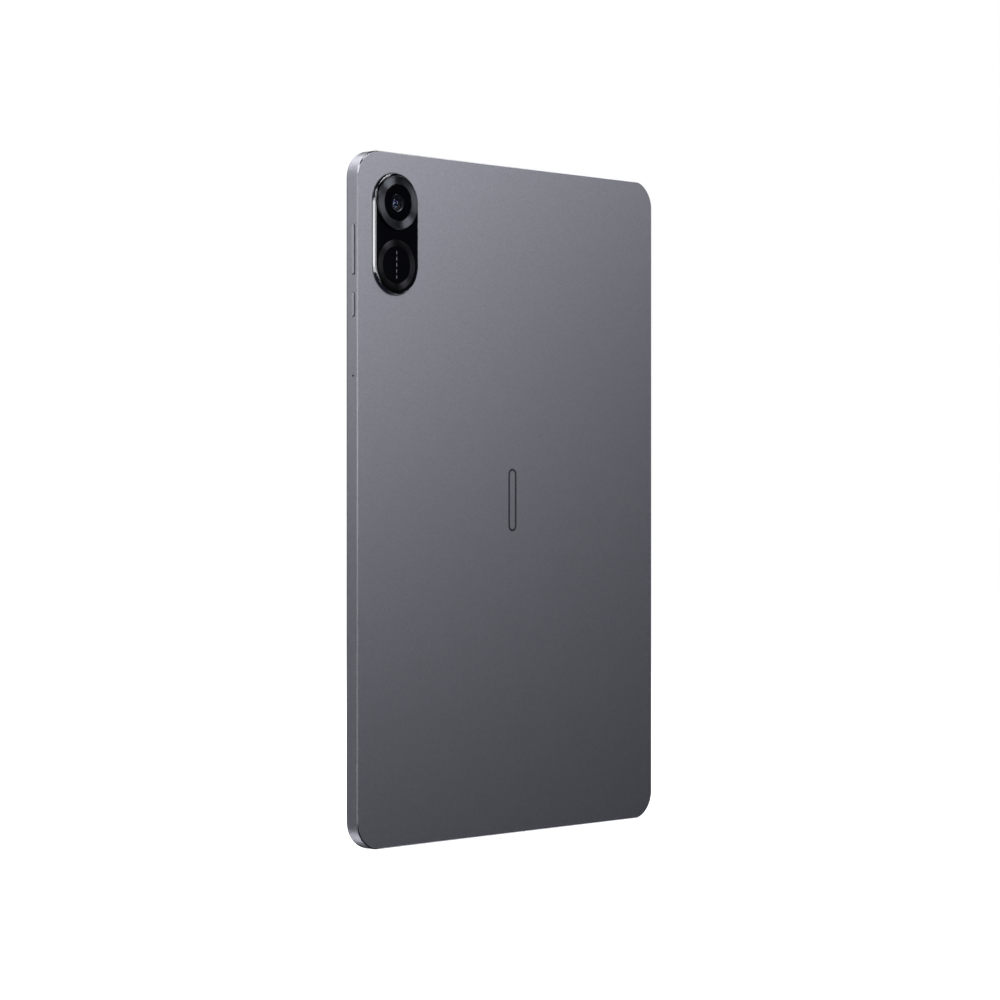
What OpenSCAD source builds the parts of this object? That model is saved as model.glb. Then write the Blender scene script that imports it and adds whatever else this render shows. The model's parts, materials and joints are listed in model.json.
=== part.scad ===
// Tablet computer with an aluminium rear cover, standing upright on its short edge.
// X runs across the width, Y through the thickness (+Y is the back) and Z up the long side.
// The origin is the middle of the bottom edge.

/* [Body] */
// Width of the body, across the short side
body_w = 167.4; // [160:0.1:180]
// Height of the body, along the long side
body_h = 267.3; // [260:0.1:280]
// Thickness of the body, from the glass to the back face
body_t = 6.9; // [6.7:0.1:8]
// Radius of the four corners
corner_r = 11; // [9:0.5:14]
// Thickness of the rear cover's side walls
side_wall = 1.4; // [1.2:0.1:1.6]
// Thickness of the rear cover's back wall
back_wall = 0.8; // [0.6:0.1:0.9]
// Depth of the metal side wall, from the back face towards the glass
side_depth = 5.9; // [5.7:0.1:6.0]
// Polished chamfer round the back face
back_chamfer = 0.4; // [0.2:0.05:0.5]

/* [Display] */
// Width of the lit area
screen_w = 150.3; // [145:0.1:151]
// Height of the lit area
screen_h = 250.5; // [245:0.1:251]
// Gap from the body's outline to the glass edge
glass_inset = 1.0; // [0.8:0.1:1.1]
// Thickness of the cover glass
glass_t = 0.7; // [0.6:0.05:0.8]

/* [Camera island] */
// Width of the pill-shaped island
island_w = 23.6; // [23:0.1:25]
// Height of the pill-shaped island
island_h = 47.4; // [46:0.1:50]
// Distance from the key side to the middle of the island
island_edge = 19.3; // [18:0.1:22]
// Distance from the top edge to the middle of the island
island_top = 31.35; // [28:0.05:36]
// Height of the island's plate over the back face
island_rise = 1.15; // [1:0.05:1.4]
// Height of the lens ring over the plate
turret_rise = 1.05; // [0.9:0.05:1.2]
// Outer diameter of the lens ring
turret_d = 20.8; // [20:0.1:21]
// Diameter of the glass inside the lens ring
lens_glass_d = 14.2; // [14:0.1:14.4]

/* [Keys] */
// Height of the volume rocker's middle over the bottom edge
rocker_z = 229; // [226:0.5:232]
// Length of the volume rocker
rocker_l = 19; // [17:0.1:20]
// Height of the power button's middle over the bottom edge
power_z = 207.95; // [206:0.05:209]
// Length of the power button
power_l = 8.9; // [8:0.1:10]
// Width of both keys
key_w = 1.9; // [1.6:0.1:2.1]
// How far the keys stand proud of the side wall
key_proud = 0.3; // [0.2:0.05:0.4]
// Distance from the back face to the middle of the keys
key_depth = 2.55; // [2.4:0.05:2.8]

/* [Openings] */
// Width of the USB-C socket's mouth
usb_w = 8.34; // [8.3:0.01:8.4]
// Height of the USB-C socket's mouth
usb_t = 2.56; // [2.5:0.01:2.6]
// Number of speaker holes in each row
speaker_holes = 10; // [6:1:10]
// Diameter of one speaker hole
speaker_hole_d = 1.2; // [0.8:0.1:1.4]
// Distance between speaker holes
speaker_pitch = 2.2; // [2:0.1:2.3]
// Distance from the centre line to the middle of each speaker
speaker_x = 38; // [36:0.5:39]

/* [Hidden] */
$fn = 64;

// main planes
back_y = body_t / 2;
front_y = -body_t / 2;
rim_y = back_y - side_depth;
cavity_y = back_y - back_wall;
mid_z = body_h / 2;
inner_w = body_w - 2 * side_wall;
inner_h = body_h - 2 * side_wall;
inner_r = corner_r - side_wall;
wall_x = body_w / 2 - side_wall;
cut = 1;

// display stack, from the glass inwards
glass_back_y = front_y + glass_t;
print_t = 0.05;
tape_t = 0.1;
panel_front_y = glass_back_y + print_t;
ledge_y = panel_front_y + tape_t;
panel_t = 0.75;
guide_t = 0.6;
tray_t = 0.2;
guide_front_y = panel_front_y + panel_t;
tray_back_y = guide_front_y + guide_t + tray_t;
panel_w = screen_w + 2;
panel_h = screen_h + 2;
tray_w = panel_w + 2 * tray_t + 0.4;
tray_h = panel_h + 2 * tray_t + 0.4;
led_gap = 1.5;

// camera island
island_x = body_w / 2 - island_edge;
island_z = body_h - island_top;
cap_shift = (island_h - island_w) / 2;
lens_z = island_z + cap_shift;
decor_z = island_z - cap_shift;
plate_y = back_y + island_rise;
plate_t = 0.85;
rim_w = 0.7;
rim_ledge = 0.8;
rim_spigot = 0.95;
turret_y = plate_y + turret_rise;
turret_bore_r = 9;
glass_top_y = turret_y - 0.35;
glass_under_y = glass_top_y - 0.6;
seat_r = 6.55;
decor_outer_r = 9.7;
decor_inner_r = 7.15;
inlay_t = 0.1;
mark_count = 5;
mark_l = 1.4;
mark_w = 0.4;
mark_pitch = 2.35;

// camera module
module_w = 9;
module_wall = 0.4;
module_top_y = glass_under_y - 0.3;
module_base_y = -0.2;
aperture_r = 3.2;
barrel_r = 2.9;
barrel_bore_r = 2.4;
barrel_y = [1.1, module_top_y - 0.35];
coil_r = 3.3;
magnet_in = 3.55;
magnet_y = [1.5, 3.3];

// keys
key_y = back_y - key_depth;
key_gap = 0.2;
key_flange_x = wall_x - 0.35;
flange_t = 0.55;
flange_extra = 0.5;
nub_r = 0.6;
nub_shift = 6.5;
fulcrum_r = 0.45;
fulcrum_x = wall_x - 1;
rocker_nub_x = wall_x - 1.4;
power_nub_x = wall_x - 1.3;
dome_x = wall_x - 1.65;
flex_x = wall_x - 1.9;
bracket_x = wall_x - 2.1;
mic_z = 180.85;
mic_r = 0.5;
mic_bottom_x = 14;

// sockets and speakers on the short edges
edge_y = (back_y + rim_y) / 2;
usb_wall = 0.3;
usb_depth = 7.5;
usb_inset = 0.1;
tongue_w = 6.65;
tongue_t = 0.7;
box_w = 24;
box_d = 10;
box_y = [-0.9, 2.5];
box_wall = 0.5;
cone_w = 21;
cone_d = 6.4;
cone_y = 0;
cone_t = 0.15;
voice_y = 1;
speaker_spots = [[-1, 0], [1, 0], [-1, 1], [1, 1]];

// boards and battery
board_y = [0.3, 1.1];
board_x = [-70, 46];
board_z = [194, 250];
board_screw_spots = [[-66, 198], [-66, 246], [-13, 198], [-13, 246], [42, 198], [42, 238]];
can_spots = [[-60, -20, 203, 241], [-6, 18, 203, 241], [22, 37, 203, 241]];
can_wall = 0.2;
usb_board_y = [edge_y + usb_t / 2 + usb_wall + 0.02, cavity_y - 0.05];
usb_screw_spots = [[-14, 20], [14, 20]];
screw_r = 0.54;
screw_bore_r = 0.56;
boss_r = 1.5;
cell_w = 60;
cell_h = 145;
cell_x = 3;
cell_z = 40;
cell_y = [-0.45, cavity_y - 0.1];
front_camera_x = wall_x - 2.95;
front_camera_w = 5.4;
front_window_r = 1.6;

// a block between the given limits along X, Y and Z
module block(x, y, z) {
    translate([x[0], y[0], z[0]])
        cube([x[1] - x[0], y[1] - y[0], z[1] - z[0]]);
}

// a disc facing the back, between two values of Y
module disc(r, y) {
    translate([0, y[0], 0])
        rotate([-90, 0, 0])
            cylinder(h = y[1] - y[0], r = r);
}

// a flat ring facing the back
module ring(outer_r, inner_r, y) {
    difference() {
        disc(outer_r, y);
        disc(inner_r, [y[0] - cut, y[1] + cut]);
    }
}

// a turned shape about Y; the profile's points are [radius, y]
module turned(profile) {
    rotate([-90, 0, 0])
        rotate_extrude()
            polygon(profile);
}

// outline with four equal round corners
module rounded(w, h, r) {
    square([w - 2 * r, h], center = true);
    square([w, h - 2 * r], center = true);
    for (x = [-1, 1], z = [-1, 1])
        translate([x * (w / 2 - r), z * (h / 2 - r)])
            circle(r);
}

// a plate with round corners, centred on the body
module slab(w, h, r, y) {
    translate([0, y[1], mid_z])
        rotate([90, 0, 0])
            linear_extrude(y[1] - y[0])
                rounded(w, h, r);
}

// a plate like the above whose edge follows a profile of [inset, y] points, from front to back
module edged_slab(w, h, r, profile) {
    last = len(profile) - 1;
    function half(size, side, order) = [for (i = order) [side * (size / 2 - profile[i][0]), profile[i][1]]];
    function section(size) = concat(half(size, 1, [0:last]), half(size, -1, [last:-1:0]));
    translate([0, 0, mid_z]) {
        translate([0, 0, r - h / 2])
            linear_extrude(h - 2 * r)
                polygon(section(w));
        rotate([0, 90, 0])
            translate([0, 0, r - w / 2])
                linear_extrude(w - 2 * r)
                    polygon(section(h));
        for (x = [-1, 1], z = [-1, 1])
            translate([x * (w / 2 - r), 0, z * (h / 2 - r)])
                turned(concat([[0, profile[0][1]]], [for (p = profile) [r - p[0], p[1]]],
                              [[0, profile[last][1]]]));
    }
}

// a pill lying in XY, long along X, whose side follows a profile of [half width, z] points
module edged_pill(length, profile) {
    last = len(profile) - 1;
    straight = length - 2 * max([for (p = profile) p[0]]);
    section = concat(profile, [for (i = [last:-1:0]) [-profile[i][0], profile[i][1]]]);
    translate([-straight / 2, 0, 0])
        rotate([90, 0, 90])
            linear_extrude(straight)
                polygon(section);
    for (side = [-1, 1])
        translate([side * straight / 2, 0, 0])
            rotate_extrude()
                polygon(concat([[0, profile[0][1]]], profile, [[0, profile[last][1]]]));
}

// a pill on the back face, upright, at the island's place
module island_pill(length, profile) {
    translate([island_x, 0, island_z])
        rotate([-90, 0, 0])
            rotate([0, 0, 90])
                edged_pill(length, profile);
}

// a straight-sided island pill that is smaller than the island by an inset all round
module island_core(inset, y) {
    r = island_w / 2 - inset;
    island_pill(island_h - 2 * inset, [[r, y[0]], [r, y[1]]]);
}

// a pill standing out along +X from the key wall
module key_pill(length, z, profile) {
    translate([0, key_y, z])
        rotate([0, 90, 0])
            edged_pill(length, profile);
}

// a pill across the bottom edge, running up along +Z
module port_pill(w, t, z) {
    translate([0, edge_y, 0])
        edged_pill(w, [[t / 2, z[0]], [t / 2, z[1]]]);
}

module at_lens() {
    translate([island_x, 0, lens_z])
        children();
}

module at_decor() {
    translate([island_x, 0, decor_z])
        children();
}

// moves a speaker piece from the wall's inner face to speaker i; its local +Z points into the body
module at_speaker(i) {
    x = speaker_spots[i][0] * speaker_x;
    if (speaker_spots[i][1] == 0)
        translate([x, 0, side_wall])
            children();
    else
        translate([x, 0, body_h - side_wall])
            mirror([0, 0, 1])
                children();
}

module speaker_hole_row() {
    for (n = [0:speaker_holes - 1])
        translate([(n - (speaker_holes - 1) / 2) * speaker_pitch, edge_y, -side_wall - cut])
            cylinder(h = side_wall + 2 * cut, r = speaker_hole_d / 2);
}

// the upright mark in the middle of the back, a plain pill outline
module emblem(y) {
    stroke = 0.9;
    length = 25.2;
    width = 4.6;
    translate([0, 0, mid_z])
        rotate([-90, 0, 0])
            rotate([0, 0, 90])
                difference() {
                    edged_pill(length, [[width / 2, y[0]], [width / 2, y[1]]]);
                    edged_pill(length - 2 * stroke,
                               [[width / 2 - stroke, y[0] - cut], [width / 2 - stroke, y[1] + cut]]);
                }
}

// short dashes in a column inside the lower circle
module plate_dashes(y) {
    at_decor()
        for (n = [0:mark_count - 1])
            translate([0, 0, (n - (mark_count - 1) / 2) * mark_pitch])
                rotate([-90, 0, 0])
                    rotate([0, 0, 90])
                        edged_pill(mark_l, [[mark_w / 2, y[0]], [mark_w / 2, y[1]]]);
}

// two slots across the top wall that the antenna breaks fill
module antenna_slots() {
    slot_x = 66;
    slot_w = 1.2;
    for (side = [-1, 1])
        block([side * slot_x - slot_w / 2, side * slot_x + slot_w / 2], [rim_y, back_y - back_chamfer],
              [body_h - side_wall, body_h]);
}

module rear_cover() {
    front_chamfer = 0.15;
    color("dimgray")
        difference() {
            union() {
                difference() {
                    edged_slab(body_w, body_h, corner_r,
                               [[front_chamfer, rim_y], [0, rim_y + front_chamfer],
                                [0, back_y - back_chamfer], [back_chamfer, back_y]]);
                    slab(inner_w, inner_h, inner_r, [rim_y - cut, cavity_y]);
                }
                for (spot = board_screw_spots)
                    translate([spot[0], 0, spot[1]])
                        disc(boss_r, [board_y[1], cavity_y + 0.1]);
            }
            island_core(island_w / 2 - 10.9, [cavity_y - cut, back_y + cut]);
            for (spot = board_screw_spots)
                translate([spot[0], 0, spot[1]])
                    disc(screw_bore_r, [board_y[1] - cut, cavity_y + 0.2]);
            for (spot = usb_screw_spots)
                translate([spot[0], 0, spot[1]])
                    disc(screw_bore_r, [cavity_y - cut, cavity_y + 0.5]);
            key_pill(rocker_l + 2 * key_gap, rocker_z,
                     [[key_w / 2 + key_gap, wall_x - cut], [key_w / 2 + key_gap, body_w / 2 + cut]]);
            key_pill(power_l + 2 * key_gap, power_z,
                     [[key_w / 2 + key_gap, wall_x - cut], [key_w / 2 + key_gap, body_w / 2 + cut]]);
            translate([wall_x - cut, key_y, mic_z])
                rotate([0, 90, 0])
                    cylinder(h = side_wall + 2 * cut, r = mic_r);
            translate([mic_bottom_x, edge_y, -cut])
                cylinder(h = side_wall + 2 * cut, r = mic_r);
            port_pill(usb_w + 2 * usb_wall + 0.2, usb_t + 2 * usb_wall + 0.2, [-cut, side_wall + cut]);
            for (i = [0:3])
                at_speaker(i)
                    speaker_hole_row();
            antenna_slots();
            emblem([back_y - inlay_t, back_y + cut]);
        }
}

module antenna_breaks() {
    color("gray")
        antenna_slots();
}

module emblem_inlay() {
    color("black")
        emblem([back_y - inlay_t, back_y]);
}

// black plastic frame that carries the glass: a lip on the wall and a ring inside it
module display_frame() {
    lip_inset = 0.25;
    lip_front = glass_back_y - 0.35;
    ring_back = ledge_y + 0.65;
    color("black")
        difference() {
            union() {
                edged_slab(body_w - 2 * lip_inset, body_h - 2 * lip_inset, corner_r - lip_inset,
                           [[0.15, lip_front], [0, lip_front + 0.15], [0, rim_y]]);
                slab(inner_w - 0.1, inner_h - 0.1, inner_r - 0.05, [rim_y - 0.05, ring_back]);
            }
            slab(body_w - 2 * glass_inset + 0.1, body_h - 2 * glass_inset + 0.1,
                 corner_r - glass_inset + 0.05, [front_y - cut, ledge_y]);
            slab(tray_w + 0.4, tray_h + 0.4, 0.6, [front_y, ring_back + cut]);
            block([front_camera_x - front_camera_w / 2 - 0.1, front_camera_x + front_camera_w / 2 + 0.1],
                  [front_y, ring_back + cut],
                  [mid_z - front_camera_w / 2 - 0.1, mid_z + front_camera_w / 2 + 0.1]);
        }
}

// cover glass with a rounded front edge
module cover_glass() {
    edge_r = 0.45;
    steps = 4;
    color("black")
        edged_slab(body_w - 2 * glass_inset, body_h - 2 * glass_inset, corner_r - glass_inset,
                   concat([for (n = [0:steps]) let (a = 90 * n / steps)
                               [edge_r * (1 - sin(a)), front_y + edge_r * (1 - cos(a))]],
                          [[0, glass_back_y]]));
}

module bezel_print() {
    color("black")
        difference() {
            slab(body_w - 2 * glass_inset, body_h - 2 * glass_inset, corner_r - glass_inset,
                 [glass_back_y, panel_front_y]);
            slab(screen_w, screen_h, 2, [front_y, panel_front_y + cut]);
            translate([front_camera_x, 0, mid_z])
                disc(front_window_r, [front_y, panel_front_y + cut]);
        }
}

module display_tape() {
    color("dimgray")
        difference() {
            slab(body_w - 2 * glass_inset, body_h - 2 * glass_inset, corner_r - glass_inset,
                 [panel_front_y, ledge_y]);
            slab(tray_w + 0.4, tray_h + 0.4, 0.6, [front_y, ledge_y + cut]);
            block([front_camera_x - front_camera_w / 2 - 0.1, front_camera_x + front_camera_w / 2 + 0.1],
                  [front_y, ledge_y + cut],
                  [mid_z - front_camera_w / 2 - 0.1, mid_z + front_camera_w / 2 + 0.1]);
        }
}

module lcd_panel() {
    color("midnightblue")
        slab(panel_w, panel_h, 0.5, [panel_front_y, guide_front_y]);
}

module light_guide() {
    color("white")
        block([-panel_w / 2, panel_w / 2], [guide_front_y, guide_front_y + guide_t],
              [mid_z - panel_h / 2 + led_gap, mid_z + panel_h / 2]);
}

// row of small lamps on a strip below the light guide
module led_strip() {
    lamps = 36;
    lamp_w = 2.4;
    low_z = mid_z - panel_h / 2;
    pitch = panel_w / lamps;
    color("khaki") {
        block([-panel_w / 2, panel_w / 2], [guide_front_y + 0.45, guide_front_y + guide_t],
              [low_z, low_z + led_gap - 0.1]);
        for (n = [0:lamps - 1])
            translate([(n - (lamps - 1) / 2) * pitch, 0, 0])
                block([-lamp_w / 2, lamp_w / 2], [guide_front_y + 0.05, guide_front_y + 0.45],
                      [low_z + 0.4, low_z + led_gap - 0.1]);
    }
}

// thin steel tray that holds the panel and the light guide
module backlight_tray() {
    color("silver")
        difference() {
            slab(tray_w, tray_h, 0.5, [panel_front_y, tray_back_y]);
            slab(tray_w - 2 * tray_t, tray_h - 2 * tray_t, 0.3, [front_y, tray_back_y - tray_t]);
        }
}

module display_flex() {
    color("saddlebrown") {
        block([-34, -14], [tray_back_y, tray_back_y + 0.15], [197, 250]);
        block([-32, -16], [tray_back_y + 0.15, board_y[0]], [199, 202]);
    }
}

// metal rim round the camera plate, with a ledge that the plate rests on
module camera_rim() {
    r = island_w / 2;
    color("silver")
        difference() {
            union() {
                island_pill(island_h, [[r, back_y], [r, plate_y - 0.25], [r - 0.25, plate_y]]);
                island_core(rim_spigot, [cavity_y, back_y + 0.1]);
            }
            island_core(rim_w, [plate_y - plate_t, plate_y + cut]);
            island_core(rim_w + rim_ledge, [cavity_y - cut, plate_y]);
        }
}

module camera_plate() {
    color("black")
        difference() {
            island_core(rim_w + 0.03, [plate_y - plate_t, plate_y]);
            at_lens()
                disc(turret_bore_r, [back_y - cut, plate_y + cut]);
            at_decor()
                ring(decor_outer_r, decor_inner_r, [plate_y - inlay_t, plate_y + cut]);
            plate_dashes([plate_y - inlay_t, plate_y + cut]);
        }
}

module decor_ring() {
    color("dimgray")
        at_decor()
            ring(decor_outer_r, decor_inner_r, [plate_y - inlay_t, plate_y]);
}

module plate_mark() {
    color("silver")
        plate_dashes([plate_y - inlay_t, plate_y]);
}

// raised ring round the lens glass, with a shallow cone on its face
module lens_turret() {
    r = turret_d / 2;
    glass_r = lens_glass_d / 2 + 0.05;
    color("slategray")
        at_lens()
            turned([[seat_r, plate_y - plate_t], [turret_bore_r - 0.03, plate_y - plate_t],
                    [turret_bore_r - 0.03, plate_y], [r, plate_y], [r, turret_y - 0.3],
                    [r - 0.2, turret_y], [r - 0.5, turret_y], [glass_r, glass_top_y + 0.05],
                    [glass_r, glass_under_y], [seat_r, glass_under_y]]);
}

module lens_glass() {
    color("black")
        at_lens()
            disc(lens_glass_d / 2, [glass_under_y, glass_top_y]);
}

module lens_mask() {
    color("black")
        at_lens()
            ring(seat_r - 0.05, 3.4, [glass_under_y - print_t, glass_under_y]);
}

module lens_trim_ring() {
    color("silver")
        at_lens()
            ring(3.4, 2.95, [glass_under_y - 0.2, glass_under_y]);
}

module camera_gasket() {
    color("dimgray")
        at_lens()
            ring(6.3, 4.3, [module_top_y, glass_under_y - print_t]);
}

module camera_housing() {
    half = module_w / 2;
    inner = half - module_wall;
    color("silver")
        at_lens()
            difference() {
                block([-half, half], [module_base_y, module_top_y], [-half, half]);
                block([-inner, inner], [module_base_y - cut, module_top_y - module_wall], [-inner, inner]);
                disc(aperture_r, [module_base_y, module_top_y + cut]);
            }
}

module focus_magnets() {
    magnet_l = 4.6;
    color("gray")
        at_lens()
            for (turn = [0:90:270])
                rotate([0, turn, 0])
                    block([magnet_in, module_w / 2 - module_wall], magnet_y, [-magnet_l / 2, magnet_l / 2]);
}

module ir_filter() {
    half = module_w / 2 - module_wall;
    color("lightblue")
        at_lens()
            block([-half, half], [0.45, 0.7], [-half, half]);
}

module image_sensor() {
    half = module_w / 2;
    die = 3.4;
    color("darkgreen")
        at_lens() {
            block([-half, half], [module_base_y - 0.3, module_base_y], [-half, half]);
            block([-die, die], [module_base_y, module_base_y + 0.35], [-die, die]);
        }
}

module camera_flex() {
    low = module_base_y - 0.3;
    left = island_x - module_w / 2;
    color("saddlebrown") {
        block([40, left], [low, low + 0.15], [lens_z - 3, lens_z + 2]);
        block([40, 44.5], [low + 0.15, board_y[0]], [lens_z - 3, lens_z + 2]);
    }
}

module lens_barrel() {
    color("black")
        at_lens()
            difference() {
                disc(barrel_r, barrel_y);
                disc(barrel_bore_r, [barrel_y[0] - cut, barrel_y[1] - 0.25]);
                disc(1.6, [barrel_y[0], barrel_y[1] + cut]);
            }
}

// four lenses stacked in the barrel, the front one domed
module lens_elements() {
    r = barrel_bore_r - 0.02;
    dome_r = 5;
    front = barrel_y[1] - 0.25;
    color("lightsteelblue")
        at_lens() {
            for (base = [1.25, 1.85, 2.45])
                disc(r, [base, base + 0.35]);
            intersection() {
                disc(r, [3.05, front]);
                translate([0, front - dome_r, 0])
                    sphere(r = dome_r, $fn = 96);
            }
        }
}

module focus_coil() {
    color("peru")
        at_lens()
            ring(coil_r, barrel_r, [1.6, 3.2]);
}

module front_camera() {
    half = front_camera_w / 2;
    color("black")
        translate([front_camera_x, 0, mid_z])
            difference() {
                block([-half, half], [panel_front_y + 0.1, 1], [-half, half]);
                disc(1.8, [panel_front_y, panel_front_y + 1.2]);
            }
}

module front_camera_lens() {
    color("lightsteelblue")
        translate([front_camera_x, 0, mid_z])
            disc(1.78, [panel_front_y + 0.35, panel_front_y + 1.2]);
}

// a key: the cap in the wall's slot, a wider flange inside and one nub per switch
module key(length, z, nub_x, nub_spots) {
    r = key_w / 2;
    top_x = body_w / 2 + key_proud;
    color("gray") {
        key_pill(length, z, [[r, key_flange_x - 0.1], [r, top_x - 0.15], [r - 0.15, top_x]]);
        key_pill(length + 2 * flange_extra, z,
                 [[r + flange_extra, key_flange_x - flange_t], [r + flange_extra, key_flange_x]]);
        for (spot = nub_spots)
            translate([nub_x, key_y, z + spot])
                rotate([0, 90, 0])
                    cylinder(h = key_flange_x - flange_t - nub_x + 0.1, r = nub_r);
    }
}

// the volume rocker has a round rib behind its middle, and it rocks about the rib's axis
module volume_rocker() {
    key(rocker_l, rocker_z, rocker_nub_x, [-nub_shift, nub_shift]);
    color("gray")
        translate([fulcrum_x, key_y, rocker_z])
            disc(fulcrum_r, [-key_w / 2 - flange_extra, key_w / 2 + flange_extra]);
}

module power_button() {
    key(power_l, power_z, power_nub_x, [0]);
}

// steel strip behind the keys, with feet against the side wall between them
module key_bracket() {
    color("silver") {
        block([bracket_x - 0.6, bracket_x], [key_y - 1.5, key_y + 1.7], [199, 243]);
        for (z = [[199, 201], [214.5, 217.5], [241, 243]])
            for (y = [[key_y - 1.5, key_y - 1.25], [key_y + 1.25, key_y + 1.7]])
                block([bracket_x - 0.1, wall_x - 0.05], y, z);
    }
}

module key_flex() {
    color("saddlebrown")
        block([bracket_x, flex_x], [key_y - 1.2, key_y + 1.2], [200, 242]);
}

module dome_switches() {
    color("silver")
        for (z = [power_z, rocker_z - nub_shift, rocker_z + nub_shift])
            translate([flex_x, key_y, z])
                rotate([0, 90, 0]) {
                    cylinder(h = 0.12, r = 1.1);
                    cylinder(h = dome_x - flex_x, r = 0.7);
                }
}

module main_board() {
    color("darkgreen")
        difference() {
            block(board_x, board_y, board_z);
            for (spot = board_screw_spots)
                translate([spot[0], 0, spot[1]])
                    disc(0.8, [board_y[0] - cut, board_y[1] + cut]);
        }
}

module board_chips() {
    top = board_y[1] + 0.9;
    color("black") {
        block([-54, -40], [board_y[1], top], [216, 230]);
        block([-37, -26], [board_y[1], top], [217, 229]);
        block([-52, -44], [board_y[1], top], [206, 212]);
        block([-1, 13], [board_y[1], top], [222, 236]);
        block([1, 9], [board_y[1], top], [208, 216]);
        block([25, 33], [board_y[1], top], [226, 234]);
        block([26, 32], [board_y[1], top], [210, 216]);
    }
}

// three steel lids over the chips, open towards the board
module shield_cans() {
    top = cavity_y - 0.2;
    color("silver")
        for (c = can_spots)
            difference() {
                block([c[0], c[1]], [board_y[1], top], [c[2], c[3]]);
                block([c[0] + can_wall, c[1] - can_wall], [board_y[1] - cut, top - can_wall],
                      [c[2] + can_wall, c[3] - can_wall]);
            }
}

module heat_spreader() {
    color("darkslategray")
        block([-62, 39], [cavity_y - 0.2, cavity_y - 0.05], [204, 240]);
}

// small screws that hold both boards, head side towards the display
module board_screws() {
    color("silver") {
        for (spot = board_screw_spots)
            translate([spot[0], 0, spot[1]]) {
                disc(1.3, [board_y[0] - 0.45, board_y[0]]);
                disc(screw_r, [board_y[0] - 0.1, cavity_y]);
            }
        for (spot = usb_screw_spots)
            translate([spot[0], 0, spot[1]]) {
                disc(1.3, [usb_board_y[0] - 0.45, usb_board_y[0]]);
                disc(screw_r, [usb_board_y[0] - 0.1, cavity_y + 0.4]);
            }
    }
}

module usb_board() {
    color("darkgreen")
        difference() {
            block([-18, 18], usb_board_y, [1.7, 25]);
            for (spot = usb_screw_spots)
                translate([spot[0], 0, spot[1]])
                    disc(0.8, [usb_board_y[0] - cut, usb_board_y[1] + cut]);
        }
}

// the socket's steel shell, closed at the inner end
module usb_shell() {
    color("silver")
        difference() {
            port_pill(usb_w + 2 * usb_wall, usb_t + 2 * usb_wall, [usb_inset, usb_inset + usb_depth]);
            port_pill(usb_w, usb_t, [usb_inset - cut, usb_inset + usb_depth - 0.8]);
        }
}

module usb_tongue() {
    contacts = 12;
    contact_pitch = 0.5;
    contact_w = 0.25;
    color("black")
        block([-tongue_w / 2, tongue_w / 2], [edge_y - tongue_t / 2, edge_y + tongue_t / 2],
              [usb_inset + 1, usb_inset + usb_depth - 0.8]);
    color("gold")
        for (n = [0:contacts - 1])
            translate([(n - (contacts - 1) / 2) * contact_pitch, 0, 0])
                block([-contact_w / 2, contact_w / 2],
                      [edge_y - tongue_t / 2 - 0.03, edge_y + tongue_t / 2 + 0.03],
                      [usb_inset + 1.3, usb_inset + 5]);
}

module main_flex() {
    front = cell_y[0] - 0.2;
    color("saddlebrown") {
        block([-7, 7], [front, front + 0.15], [11, 200]);
        block([-5, 5], [front + 0.1, usb_board_y[0]], [12, 16]);
        block([-5, 5], [front + 0.1, board_y[0]], [195.5, 199]);
    }
}

// two pouch cells side by side
module battery_cells() {
    color("dimgray")
        for (side = [-1, 1])
            translate([side * (cell_x + cell_w / 2), 0, cell_z + cell_h / 2 - mid_z])
                slab(cell_w, cell_h, 1.5, cell_y);
}

module battery_board() {
    color("darkgreen") {
        block([-46, 46], [0.6, 1.3], [cell_z + cell_h, cell_z + cell_h + 5]);
        block([-44, -36], [0, 0.6], [cell_z + cell_h + 1, cell_z + cell_h + 4]);
        block([10, 34], [0, 0.6], [cell_z + cell_h + 1, cell_z + cell_h + 4]);
    }
}

module battery_tape() {
    color("white")
        for (side = [-1, 1])
            translate([side * (cell_x + cell_w / 2), 0, 0])
                block([-cell_w / 2 + 6, cell_w / 2 - 6], [cell_y[1], cavity_y],
                      [cell_z + 10, cell_z + cell_h - 10]);
}

// speaker boxes with a mouth towards the holes in the wall
module speaker_boxes() {
    half = box_w / 2;
    color("black")
        for (i = [0:3])
            at_speaker(i)
                difference() {
                    block([-half, half], box_y, [0.15, box_d]);
                    block([-half + box_wall, half - box_wall],
                          [box_y[0] + box_wall, box_y[1] - box_wall], [box_wall + 0.15, box_d - box_wall]);
                    block([-half + 1, half - 1], [edge_y - 0.8, edge_y + 0.8], [-cut, box_wall + cut]);
                }
}

module speaker_magnets() {
    color("gray")
        for (i = [0:3])
            at_speaker(i)
                block([-5.5, 5.5], [0.45, box_y[1] - box_wall], [box_d / 2 - 1, box_d / 2 + 1]);
}

// stiff diaphragm with its racetrack voice coil, which slides over the magnet
module speaker_cone(i) {
    middle = box_d / 2;
    color("whitesmoke")
        at_speaker(i) {
            block([-cone_w / 2, cone_w / 2], [cone_y, cone_y + cone_t],
                  [middle - cone_d / 2, middle + cone_d / 2]);
            difference() {
                block([-6.5, 6.5], [cone_y + cone_t, voice_y], [middle - 1.9, middle + 1.9]);
                block([-6, 6], [cone_y + cone_t, voice_y + cut], [middle - 1.45, middle + 1.45]);
            }
        }
}

module speaker_cone_1() {
    speaker_cone(0);
}

module speaker_cone_2() {
    speaker_cone(1);
}

module speaker_cone_3() {
    speaker_cone(2);
}

module speaker_cone_4() {
    speaker_cone(3);
}

module speaker_meshes() {
    color("black")
        for (i = [0:3])
            at_speaker(i)
                block([-box_w / 2 + 0.5, box_w / 2 - 0.5], [edge_y - 1, edge_y + 1], [0.02, 0.13]);
}

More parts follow.
